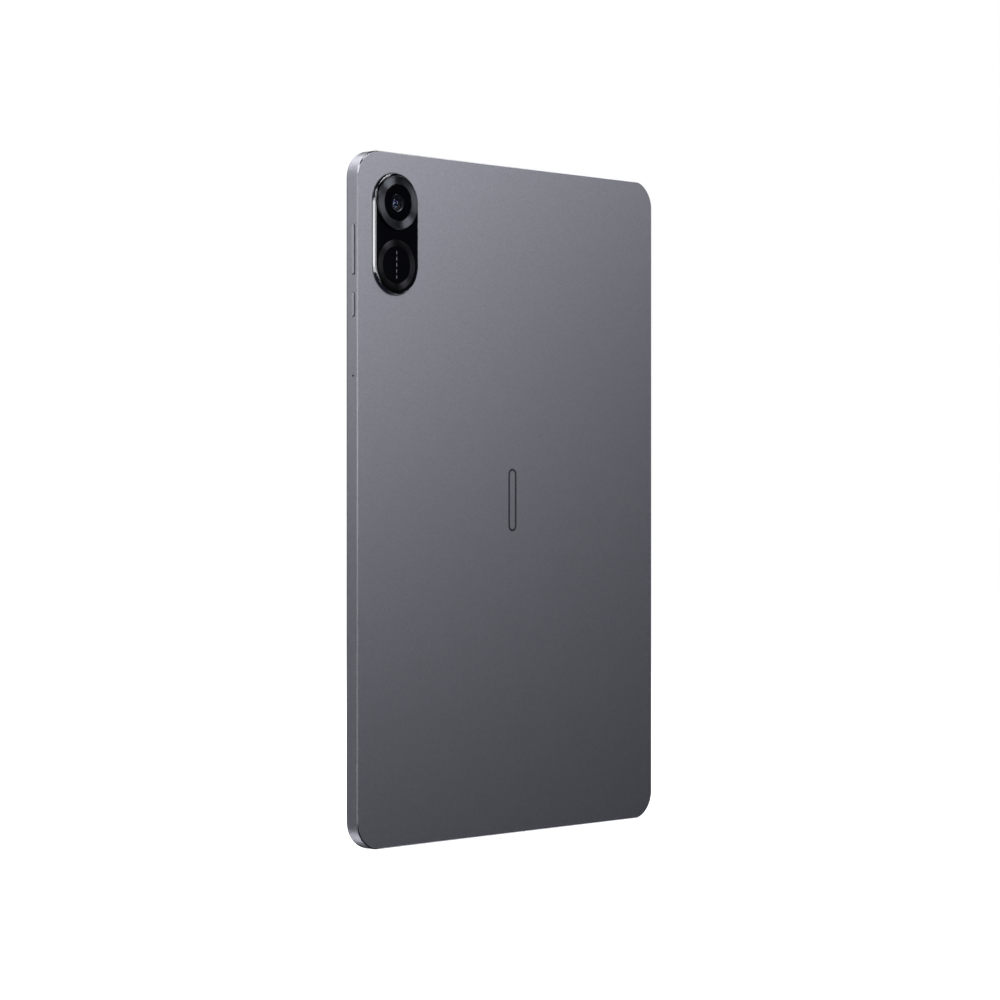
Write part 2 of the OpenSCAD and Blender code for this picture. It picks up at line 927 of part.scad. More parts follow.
module microphones() {
    color("gold") {
        block([wall_x - 1.2, wall_x - 0.1], [key_y - 1.1, key_y + 1.1], [mic_z - 1.8, mic_z + 1.8]);
        block([mic_bottom_x - 1.8, mic_bottom_x + 1.8], [edge_y - 1.1, edge_y + 1.1],
              [side_wall + 0.1, side_wall + 1.2]);
    }
}

// flat antenna carriers by the top wall and the far side wall
module antennas() {
    color("darkorange") {
        block([-70, -53], [0.6, cavity_y - 0.1], [body_h - side_wall - 4, body_h - side_wall - 0.2]);
        block([-wall_x + 0.2, -wall_x + 2], [0.2, cavity_y - 0.1], [196, 238]);
    }
}

rear_cover();
antenna_breaks();
emblem_inlay();
display_frame();
cover_glass();
bezel_print();
display_tape();
lcd_panel();
light_guide();
led_strip();
backlight_tray();
display_flex();
camera_rim();
camera_plate();
decor_ring();
plate_mark();
lens_turret();
lens_glass();
lens_mask();
lens_trim_ring();
camera_gasket();
camera_housing();
focus_magnets();
ir_filter();
image_sensor();
camera_flex();
lens_barrel();
lens_elements();
focus_coil();
front_camera();
front_camera_lens();
volume_rocker();
power_button();
key_bracket();
key_flex();
dome_switches();
main_board();
board_chips();
shield_cans();
heat_spreader();
board_screws();
usb_board();
usb_shell();
usb_tongue();
main_flex();
battery_cells();
battery_board();
battery_tape();
speaker_boxes();
speaker_magnets();
speaker_meshes();
speaker_cone_1();
speaker_cone_2();
speaker_cone_3();
speaker_cone_4();
microphones();
antennas();
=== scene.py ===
"""Tablet computer standing upright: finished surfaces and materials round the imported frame.

Lengths are in metres. X runs across the width, +Y leaves the back face and Z runs up the long side.
"""

import json
import logging
import math
from dataclasses import dataclass, field
from enum import Enum

import bpy
import numpy as np
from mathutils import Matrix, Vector


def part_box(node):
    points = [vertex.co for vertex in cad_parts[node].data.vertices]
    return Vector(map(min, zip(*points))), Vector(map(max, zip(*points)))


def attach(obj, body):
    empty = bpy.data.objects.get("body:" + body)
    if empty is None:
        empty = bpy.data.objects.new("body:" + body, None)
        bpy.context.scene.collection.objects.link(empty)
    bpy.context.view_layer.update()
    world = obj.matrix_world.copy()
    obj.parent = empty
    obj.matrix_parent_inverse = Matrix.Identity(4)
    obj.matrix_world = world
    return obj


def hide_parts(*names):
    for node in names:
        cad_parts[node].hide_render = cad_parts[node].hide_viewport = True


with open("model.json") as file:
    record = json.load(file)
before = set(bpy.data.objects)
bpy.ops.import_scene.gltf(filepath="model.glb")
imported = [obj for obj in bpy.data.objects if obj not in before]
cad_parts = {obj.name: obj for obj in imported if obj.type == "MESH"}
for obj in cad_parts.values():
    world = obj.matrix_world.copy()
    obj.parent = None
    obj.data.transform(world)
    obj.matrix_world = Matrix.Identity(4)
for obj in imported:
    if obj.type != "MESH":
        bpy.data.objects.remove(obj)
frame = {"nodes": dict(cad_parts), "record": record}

MM = 0.001
FULL_TURN = 2 * math.pi
SMOOTH_ANGLE = math.radians(38)
OVERRUN = 1 * MM         # how far a cutter runs past the face that it opens
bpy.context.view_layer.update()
LOG = logging.getLogger("tablet")

Triple = tuple[float, float, float]
Corner = tuple[float, float, float]


# ---------------------------------------------------------------------------------------------
# Shapes: profiles carried round outlines, worked out as whole arrays
# ---------------------------------------------------------------------------------------------


class Facing(Enum):
    """Where a shape's own axes, across, along and out, point in the frame."""

    BACK = ((1, 0, 0), (0, 0, 1), (0, 1, 0))
    KEYS = ((0, 1, 0), (0, 0, 1), (1, 0, 0))
    DOWN = ((1, 0, 0), (0, 1, 0), (0, 0, -1))
    UP = ((1, 0, 0), (0, 1, 0), (0, 0, 1))

    def place(self, local: np.ndarray, centre: np.ndarray) -> np.ndarray:
        """Turns local points into the frame: centre plus each coordinate times its axis."""
        return local @ np.array(self.value, float) + np.asarray(centre, float)


@dataclass(frozen=True)
class NodeBox:
    """The box of a CAD node at rest."""

    low: np.ndarray
    high: np.ndarray

    @classmethod
    def of(cls, node: str) -> "NodeBox":
        """Reads the box of a node from the frame."""
        low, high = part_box(node)
        return cls(np.array(low), np.array(high))

    @property
    def centre(self) -> np.ndarray:
        """Middle of the box."""
        return (self.low + self.high) / 2

    @property
    def size(self) -> np.ndarray:
        """Side lengths of the box."""
        return self.high - self.low


@dataclass(frozen=True)
class Outline:
    """A rounded rectangle, pill or circle, as core points with outward directions."""

    core: np.ndarray
    direction: np.ndarray
    radius: float

    @classmethod
    def rounded(cls, width: float, height: float, radius: float, steps: int = 24) -> "Outline":
        """Makes the outline of a rounded rectangle.

        The angle runs once round. In each quarter the core point is the corner's own centre, and the
        direction is the cosine and sine of the angle. Points that fall together, as on a pill or a
        circle, are kept once.

        Args:
            width: Size across.
            height: Size along.
            radius: Corner radius, half of the width for a pill and of both for a circle.
            steps: Steps in each quarter turn.

        Returns:
            The outline, centred on zero.
        """
        quarter = np.linspace(0, math.pi / 2, steps + 1)
        angle = np.concatenate([quarter + turn * math.pi / 2 for turn in range(4)])
        signs = np.array([[1, 1], [-1, 1], [-1, -1], [1, -1]], float)
        half = np.array([width / 2 - radius, height / 2 - radius])
        core = np.repeat(signs * half, steps + 1, axis=0)
        direction = np.stack([np.cos(angle), np.sin(angle)], axis=1)
        edge = core + radius * direction
        keep = np.linalg.norm(edge - np.roll(edge, 1, axis=0), axis=1) > 1e-9
        return cls(core[keep], direction[keep], radius)

    @classmethod
    def circle(cls, radius: float, steps: int = 24) -> "Outline":
        """Makes a circle."""
        return cls.rounded(2 * radius, 2 * radius, radius, steps)


def filleted(corners: list[Corner], steps: int = 4, closed: bool = False) -> np.ndarray:
    """Rounds the corners of a profile.

    Each arc touches both sides of its corner: it starts at the radius over the tangent of half the
    corner's angle, and its centre lies on the corner's bisector.

    Args:
        corners: (inset, out, fillet radius) for each corner; a zero radius keeps the corner.
        steps: Steps in each arc.
        closed: Whether the last corner joins the first.

    Returns:
        An array of (inset, out) points.
    """
    spots = np.array([corner[:2] for corner in corners], float)
    made = []
    for index, (inset, out, radius) in enumerate(corners):
        ends = not closed and index in (0, len(corners) - 1)
        if radius == 0 or ends:
            made.append([[inset, out]])
            continue
        before = spots[index - 1] - spots[index]
        after = spots[(index + 1) % len(spots)] - spots[index]
        before = before / np.linalg.norm(before)
        after = after / np.linalg.norm(after)
        half = math.acos(float(np.clip(before @ after, -1, 1))) / 2
        middle = (before + after) / np.linalg.norm(before + after)
        centre = spots[index] + middle * radius / math.sin(half)
        start = spots[index] + before * radius / math.tan(half) - centre
        stop = spots[index] + after * radius / math.tan(half) - centre
        first = math.atan2(start[1], start[0])
        sweep = (math.atan2(stop[1], stop[0]) - first + math.pi) % FULL_TURN - math.pi
        angle = first + sweep * np.linspace(0, 1, steps + 1)
        made.append(centre + radius * np.stack([np.cos(angle), np.sin(angle)], axis=1))
    return np.concatenate(made)


@dataclass
class Shape:
    """Points, faces and a UV for each face corner."""

    points: np.ndarray
    faces: list[list[int]]
    uvs: np.ndarray

    @classmethod
    def from_grid(cls, grid: np.ndarray, closed: bool) -> "Shape":
        """Joins a grid whose columns run round an outline.

        U is the share of the way round and V the share of the way along the profile.

        Args:
            grid: Points as (rows, columns, 3).
            closed: Whether the last row joins the first; otherwise both ends get a flat cap.

        Returns:
            A closed shape with its faces outward.
        """
        rows, columns = grid.shape[:2]
        row, column = np.meshgrid(np.arange(rows if closed else rows - 1), np.arange(columns), indexing="ij")
        nxt, beside = (row + 1) % rows, (column + 1) % columns
        quads = np.stack([row * columns + column, row * columns + beside,
                          nxt * columns + beside, nxt * columns + column], axis=-1).reshape(-1, 4)
        low_u, high_u = column / columns, (column + 1) / columns
        low_v, high_v = row / rows, (row + 1) / rows
        corner_u = np.stack([low_u, high_u, high_u, low_u], axis=-1)
        corner_v = np.stack([low_v, low_v, high_v, high_v], axis=-1)
        uvs = [np.stack([corner_u, corner_v], axis=-1).reshape(-1, 2)]
        faces = quads.tolist()
        if not closed:
            angle = FULL_TURN * np.arange(columns) / columns
            disc = 0.5 + 0.5 * np.stack([np.cos(angle), np.sin(angle)], axis=1)
            faces.append(list(range(columns))[::-1])
            faces.append(list(range((rows - 1) * columns, rows * columns)))
            uvs += [disc[::-1], disc]
        return cls(grid.reshape(-1, 3), faces, np.concatenate(uvs)).outward()

    @classmethod
    def swept(cls, outline: Outline, profile: np.ndarray, facing: Facing, centre: np.ndarray,
              closed: bool = False) -> "Shape":
        """Carries a profile round an outline.

        A point is the outline's core point plus its direction times the radius less the inset, at the
        profile's own distance out.

        Args:
            outline: The outline to follow.
            profile: (inset, out) points.
            facing: Which way the shape faces.
            centre: Where the outline's middle goes, with out counted from it.
            closed: Whether the profile closes on itself, as on a ring.

        Returns:
            The swept shape.
        """
        reach = (outline.radius - profile[:, 0])[:, None, None]
        plane = outline.core[None] + reach * outline.direction[None]
        out = np.broadcast_to(profile[:, 1][:, None, None], plane.shape[:2] + (1,))
        return cls.from_grid(facing.place(np.concatenate([plane, out], axis=2), centre), closed)

    @classmethod
    def joined(cls, shapes: list["Shape"]) -> "Shape":
        """Puts several shapes into one, each kept as its own closed part.

        Args:
            shapes: The shapes, in order.

        Returns:
            One shape, whose face numbers are moved on by the points before them.
        """
        starts = np.cumsum([0] + [len(shape.points) for shape in shapes])
        faces = [[int(start) + corner for corner in face]
                 for start, shape in zip(starts, shapes) for face in shape.faces]
        points = np.concatenate([shape.points for shape in shapes])
        return cls(points, faces, np.concatenate([shape.uvs for shape in shapes]))

    def outward(self) -> "Shape":
        """Turns every face over if the signed volume is negative.

        The volume is the sum, over the faces' fans of triangles, of one corner times the cross product
        of the other two, all counted from the middle of the points.

        Returns:
            The same shape with its faces outward.
        """
        fans = np.array([(face[0], face[k], face[k + 1])
                         for face in self.faces for k in range(1, len(face) - 1)])
        a, b, c = (self.points[fans[:, k]] - self.points.mean(axis=0) for k in range(3))
        if np.einsum("ij,ij->", a, np.cross(b, c)) > 0:
            return self
        ends = np.cumsum([len(face) for face in self.faces])
        parts = np.split(self.uvs, ends[:-1])
        self.uvs = np.concatenate([part[::-1] for part in parts])
        self.faces = [face[::-1] for face in self.faces]
        return self

    def piece(self, name: str) -> bpy.types.Object:
        """Makes a smooth-shaded Blender object of the shape, with sharp edges past the smooth angle.

        Args:
            name: Name of the object and its mesh.

        Returns:
            The new object, at the origin, with the UV map "surface".
        """
        mesh = bpy.data.meshes.new(name)
        mesh.from_pydata(self.points.tolist(), [], self.faces)
        mesh.uv_layers.new(name="surface").data.foreach_set("uv", self.uvs.astype(np.float32).ravel())
        made = bpy.data.objects.new(name, mesh)
        bpy.context.scene.collection.objects.link(made)
        shade(made)
        return made


def shade(piece: bpy.types.Object) -> None:
    """Shades a piece smooth, with sharp edges past the smooth angle."""
    piece.data.shade_smooth()
    piece.data.set_sharp_from_angle(angle=SMOOTH_ANGLE)


def cut(piece: bpy.types.Object, cutter: Shape) -> None:
    """Takes a shape out of a piece for good.

    Args:
        piece: The piece to cut.
        cutter: A closed shape whose parts don't meet each other.
    """
    tool = cutter.piece(piece.name + "_cutter")
    step = piece.modifiers.new("cut", "BOOLEAN")
    step.operation = "DIFFERENCE"
    step.solver = "EXACT"
    step.object = tool
    bpy.context.view_layer.update()
    graph = bpy.context.evaluated_depsgraph_get()
    solid = bpy.data.meshes.new_from_object(piece.evaluated_get(graph))
    piece.modifiers.clear()
    spare = piece.data
    piece.data = solid
    solid.name = piece.name
    bpy.data.meshes.remove(spare)
    bpy.data.objects.remove(tool)
    shade(piece)


def hole(outline: Outline, inner: float, face: float, flare: float, facing: Facing,
         centre: np.ndarray) -> Shape:
    """Makes the cutter of a hole whose mouth is chamfered.

    Args:
        outline: The hole's outline.
        inner: Where the cutter starts, counted out from the centre.
        face: Where the wall's face is.
        flare: Width of the chamfer round the mouth.
        facing: The way out of the hole.
        centre: Middle of the outline.

    Returns:
        The cutter, which runs past the face.
    """
    profile = np.array([[0, inner], [0, face - flare], [-flare, face], [-flare, face + OVERRUN]])
    return Shape.swept(outline, profile, facing, centre)


def install(piece: bpy.types.Object, body: str, slot: str, *nodes: str) -> None:
    """Gives a piece the finish of its slot when it has no material yet, puts it on its body, and hides the
    CAD nodes that it stands for.

    Args:
        piece: The finished piece.
        body: The CAD body that it moves with.
        slot: The material slot that it takes its finish from.
        nodes: The CAD nodes that it replaces.
    """
    if not piece.data.materials:
        piece.data.materials.append(FINISHES[slot].material())
    level = piece.modifiers.new("level_flats", "WEIGHTED_NORMAL")
    level.weight = 100
    level.keep_sharp = True
    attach(piece, body)
    if nodes:
        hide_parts(*nodes)
    LOG.info("%s: %d faces on %s", piece.name, len(piece.data.polygons), body)


# ---------------------------------------------------------------------------------------------
# Patterns: shared node groups with a tone and a height
# ---------------------------------------------------------------------------------------------


class Wiring:
    """Short calls for adding and joining nodes in one tree."""

    def __init__(self, tree: bpy.types.NodeTree) -> None:
        """Works on the given tree."""
        self.tree = tree

    def add(self, kind: str, **settings: object) -> bpy.types.Node:
        """Adds a node of a kind, with its settings."""
        made = self.tree.nodes.new(kind)
        for name, value in settings.items():
            setattr(made, name, value)
        return made

    def feed(self, node: bpy.types.Node, name: str | int, source: object) -> None:
        """Links a socket to an input, or sets the input to a value."""
        if isinstance(source, bpy.types.NodeSocket):
            self.tree.links.new(source, node.inputs[name])
        else:
            node.inputs[name].default_value = source

    def maths(self, operation: str, first: object, second: object = 0.0) -> bpy.types.NodeSocket:
        """Adds a Math node and returns its result."""
        made = self.add("ShaderNodeMath", operation=operation)
        self.feed(made, 0, first)
        self.feed(made, 1, second)
        return made.outputs[0]

    def vectors(self, operation: str, first: object, second: object) -> bpy.types.NodeSocket:
        """Adds a Vector Math node and returns its vector."""
        made = self.add("ShaderNodeVectorMath", operation=operation)
        self.feed(made, 0, first)
        self.feed(made, 1, second)
        return made.outputs[0]

    def noise(self, vector: object, scale: object, detail: float = 2.0) -> bpy.types.NodeSocket:
        """Adds a Noise Texture.

        Args:
            vector: Where the noise is read.
            scale: Features to the metre.
            detail: Finer layers over the first.

        Returns:
            The noise's strength, from 0 to 1.
        """
        made = self.add("ShaderNodeTexNoise", noise_dimensions="3D")
        self.feed(made, "Vector", vector)
        self.feed(made, "Scale", scale)
        self.feed(made, "Detail", detail)
        return made.outputs["Fac"]

    def spread(self, value: object, low: float, high: float) -> bpy.types.NodeSocket:
        """Stretches a value so that low becomes 0 and high becomes 1, and clamps it.

        Args:
            value: The socket or number to stretch.
            low: What becomes 0.
            high: What becomes 1, above or below low.

        Returns:
            The stretched value.
        """
        made = self.add("ShaderNodeMapRange")
        self.feed(made, "Value", value)
        self.feed(made, "From Min", low)
        self.feed(made, "From Max", high)
        return made.outputs["Result"]


class Pattern(Enum):
    """The surface patterns. Each is one node group, built once."""

    GRAIN = "fine moulded or blasted grain"
    SPARKLE = "blasted and anodised metal with bright specks"
    BRUSHED = "straight brushing"
    TURNED = "rings round a centre"
    WEAVE = "plain woven mesh"
    BOARD = "printed circuit tracks and pads"
    TRACKS = "parallel conductors"
    WINDING = "turns of fine wire"
    WRINKLE = "soft creases in foil"
    SMUDGE = "faint smudges on gloss"
    PIXELS = "dark pixel grid"

    def group(self) -> bpy.types.NodeTree:
        """Builds the pattern's node group the first time, and finds it after that.

        Its inputs are Vector, Scale, Stretch and Centre. Its outputs are Tone and Height, from 0 to 1.
        Each pattern's own method takes the wiring, the centred and stretched vector and the scale, and
        gives the tone and the height.

        Returns:
            The node group.
        """
        name = "pattern_" + self.name.lower()
        if name in bpy.data.node_groups:
            return bpy.data.node_groups[name]
        tree = bpy.data.node_groups.new(name, "ShaderNodeTree")
        for label, kind in (("Vector", "NodeSocketVector"), ("Scale", "NodeSocketFloat"),
                            ("Stretch", "NodeSocketVector"), ("Centre", "NodeSocketVector")):
            tree.interface.new_socket(label, in_out="INPUT", socket_type=kind)
        for label in ("Tone", "Height"):
            tree.interface.new_socket(label, in_out="OUTPUT", socket_type="NodeSocketFloat")
        wiring = Wiring(tree)
        given = wiring.add("NodeGroupInput").outputs
        moved = wiring.vectors("SUBTRACT", given["Vector"], given["Centre"])
        vector = wiring.vectors("MULTIPLY", moved, given["Stretch"])
        tone, height = getattr(self, "_" + self.name.lower())(wiring, vector, given["Scale"])
        result = wiring.add("NodeGroupOutput")
        wiring.feed(result, "Tone", tone)
        wiring.feed(result, "Height", height)
        return tree

    def _grain(self, w: Wiring, vector: object, scale: object) -> tuple[object, object]:
        """Noise at the scale, mixed with a slow drift."""
        fine = w.noise(vector, scale, 4.0)
        drift = w.noise(vector, w.maths("MULTIPLY", scale, 0.06), 2.0)
        return w.maths("ADD", w.maths("MULTIPLY", fine, 0.7), w.maths("MULTIPLY", drift, 0.3)), fine

    def _sparkle(self, w: Wiring, vector: object, scale: object) -> tuple[object, object]:
        """Random specks from small cells over two sizes of noise."""
        cells = w.add("ShaderNodeTexVoronoi", feature="F1")
        w.feed(cells, "Vector", vector)
        w.feed(cells, "Scale", scale)
        split = w.add("ShaderNodeSeparateColor")
        w.feed(split, 0, cells.outputs["Color"])
        fine = w.noise(vector, w.maths("MULTIPLY", scale, 0.45), 3.0)
        half = w.maths("MULTIPLY", split.outputs[0], 0.5)
        return w.maths("ADD", half, w.maths("MULTIPLY", fine, 0.5)), cells.outputs["Distance"]

    def _brushed(self, w: Wiring, vector: object, scale: object) -> tuple[object, object]:
        """Noise that the Stretch input draws out along one axis."""
        fine = w.noise(vector, scale, 5.0)
        return w.spread(fine, 0.25, 0.75), fine

    def _turned(self, w: Wiring, vector: object, scale: object) -> tuple[object, object]:
        """Noise over the distance from the centre, so that it forms rings."""
        reach = w.add("ShaderNodeVectorMath", operation="LENGTH")
        w.feed(reach, 0, vector)
        rings = w.add("ShaderNodeTexNoise", noise_dimensions="1D")
        w.feed(rings, "W", w.maths("MULTIPLY", reach.outputs["Value"], scale))
        w.feed(rings, "Scale", 1.0)
        w.feed(rings, "Detail", 3.0)
        return w.spread(rings.outputs["Fac"], 0.25, 0.75), rings.outputs["Fac"]

    def _weave(self, w: Wiring, vector: object, scale: object) -> tuple[object, object]:
        """The product of two sine waves, for threads over and under each other."""
        split = w.add("ShaderNodeSeparateXYZ")
        w.feed(split, 0, vector)
        across = w.maths("SINE", w.maths("MULTIPLY", split.outputs["X"], scale))
        along = w.maths("SINE", w.maths("MULTIPLY", split.outputs["Y"], scale))
        height = w.spread(w.maths("MULTIPLY", across, along), -1.0, 1.0)
        return height, height

    def _board(self, w: Wiring, vector: object, scale: object) -> tuple[object, object]:
        """Square cell borders as tracks, over small cells as pads."""
        tracks = w.add("ShaderNodeTexVoronoi", feature="F1", distance="CHEBYCHEV")
        w.feed(tracks, "Vector", vector)
        w.feed(tracks, "Scale", scale)
        w.feed(tracks, "Randomness", 0.75)
        pads = w.spread(tracks.outputs["Distance"], 0.1, 0.05)
        lines = w.spread(w.maths("PINGPONG", tracks.outputs["Distance"], 0.07), 0.03, 0.05)
        return pads, w.maths("MAXIMUM", pads, w.maths("MULTIPLY", lines, 0.6))

    def _tracks(self, w: Wiring, vector: object, scale: object) -> tuple[object, object]:
        """A sine wave across the film, sharpened into parallel lines."""
        split = w.add("ShaderNodeSeparateXYZ")
        w.feed(split, 0, vector)
        wave = w.maths("SINE", w.maths("MULTIPLY", split.outputs["X"], scale))
        lines = w.spread(wave, -0.3, 0.3)
        return lines, lines

    def _winding(self, w: Wiring, vector: object, scale: object) -> tuple[object, object]:
        """Half-round ridges, from the size of a sine wave along the coil's axis."""
        split = w.add("ShaderNodeSeparateXYZ")
        w.feed(split, 0, vector)
        ridge = w.maths("ABSOLUTE", w.maths("SINE", w.maths("MULTIPLY", split.outputs["Y"], scale)))
        return ridge, w.maths("SQRT", ridge)

    def _wrinkle(self, w: Wiring, vector: object, scale: object) -> tuple[object, object]:
        """Ridged noise: the distance of slow noise from its middle value."""
        slow = w.noise(vector, scale, 3.0)
        ridge = w.spread(w.maths("ABSOLUTE", w.maths("SUBTRACT", slow, 0.5)), 0.0, 0.2)
        return ridge, ridge

    def _smudge(self, w: Wiring, vector: object, scale: object) -> tuple[object, object]:
        """Slow patches with a little fine dust over them."""
        patches = w.spread(w.noise(vector, scale, 2.0), 0.45, 0.75)
        dust = w.spread(w.noise(vector, w.maths("MULTIPLY", scale, 90.0), 1.0), 0.72, 0.8)
        return w.maths("MAXIMUM", patches, w.maths("MULTIPLY", dust, 0.5)), dust

    def _pixels(self, w: Wiring, vector: object, scale: object) -> tuple[object, object]:
        """The larger of two sine waves, as a grid of dark lines."""
        split = w.add("ShaderNodeSeparateXYZ")
        w.feed(split, 0, vector)
        across = w.maths("SINE", w.maths("MULTIPLY", split.outputs["X"], scale))
        along = w.maths("SINE", w.maths("MULTIPLY", split.outputs["Z"], scale))
        grid = w.spread(w.maths("MAXIMUM", across, along), 0.7, 1.0)
        return grid, grid


# ---------------------------------------------------------------------------------------------
# Finishes: one for each material slot of the record
# ---------------------------------------------------------------------------------------------


@dataclass(frozen=True)
class Finish:
    """How one material looks.

    The pattern's tone mixes colour towards shade and moves the roughness between its two limits, and
    its height is the bump. A value that is the same all over sits on the shader's own socket.
    """

    name: str
    colour: Triple
    shade: Triple
    roughness: tuple[float, float]
    pattern: Pattern = Pattern.GRAIN
    scale: float = 3000.0
    stretch: Triple = (1.0, 1.0, 1.0)
    centre: Triple = (0.0, 0.0, 0.0)
    bump: float = 0.0
    depth: float = 0.01 * MM
    metallic: float = 0.0
    constants: dict[str, float] = field(default_factory=dict)
    turned_sheen: bool = False

    def material(self) -> bpy.types.Material:
        """Builds the finish's material the first time, and finds it after that.

        Returns:
            The material, with the pattern's group in front of one Principled shader.
        """
        label = "finish_" + self.name
        if label in bpy.data.materials:
            return bpy.data.materials[label]
        made = bpy.data.materials.new(label)
        made.use_nodes = True
        made.node_tree.nodes.clear()
        w = Wiring(made.node_tree)
        shader = w.add("ShaderNodeBsdfPrincipled")
        w.feed(w.add("ShaderNodeOutputMaterial"), "Surface", shader.outputs[0])
        pattern = w.add("ShaderNodeGroup", node_tree=self.pattern.group())
        w.feed(pattern, "Vector", w.add("ShaderNodeTexCoord").outputs["Object"])
        w.feed(pattern, "Scale", self.scale)
        w.feed(pattern, "Stretch", self.stretch)
        w.feed(pattern, "Centre", self.centre)
        mix = w.add("ShaderNodeMix", data_type="RGBA")
        w.feed(mix, "Factor", pattern.outputs["Tone"])
        w.feed(mix, 6, (*self.colour, 1.0))
        w.feed(mix, 7, (*self.shade, 1.0))
        w.feed(shader, "Base Color", mix.outputs[2])
        rough = w.add("ShaderNodeMapRange")
        w.feed(rough, "Value", pattern.outputs["Tone"])
        w.feed(rough, "To Min", self.roughness[0])
        w.feed(rough, "To Max", self.roughness[1])
        w.feed(shader, "Roughness", rough.outputs["Result"])
        if self.bump > 0:
            bump = w.add("ShaderNodeBump")
            w.feed(bump, "Strength", self.bump)
            w.feed(bump, "Distance", self.depth)
            w.feed(bump, "Height", pattern.outputs["Height"])
            w.feed(shader, "Normal", bump.outputs["Normal"])
        if self.turned_sheen:
            tangent = w.add("ShaderNodeTangent", direction_type="UV_MAP", uv_map="surface")
            w.feed(shader, "Tangent", tangent.outputs[0])
        w.feed(shader, "Metallic", self.metallic)
        for name, value in self.constants.items():
            w.feed(shader, name, value)
        return made


def node_centre(node: str) -> Triple:
    """Middle of a node's box, for patterns that turn round it."""
    return tuple(float(value) for value in NodeBox.of(node).centre)


METAL = {"Specular IOR Level": 0.5}
GLASS = {"Transmission Weight": 1.0, "IOR": 1.5}
COATED = {"Transmission Weight": 1.0, "IOR": 1.6, "Coat Weight": 1.0, "Thin Film Thickness": 365.0}
FLAT_RINGS = (1.0, 0.0, 1.0)

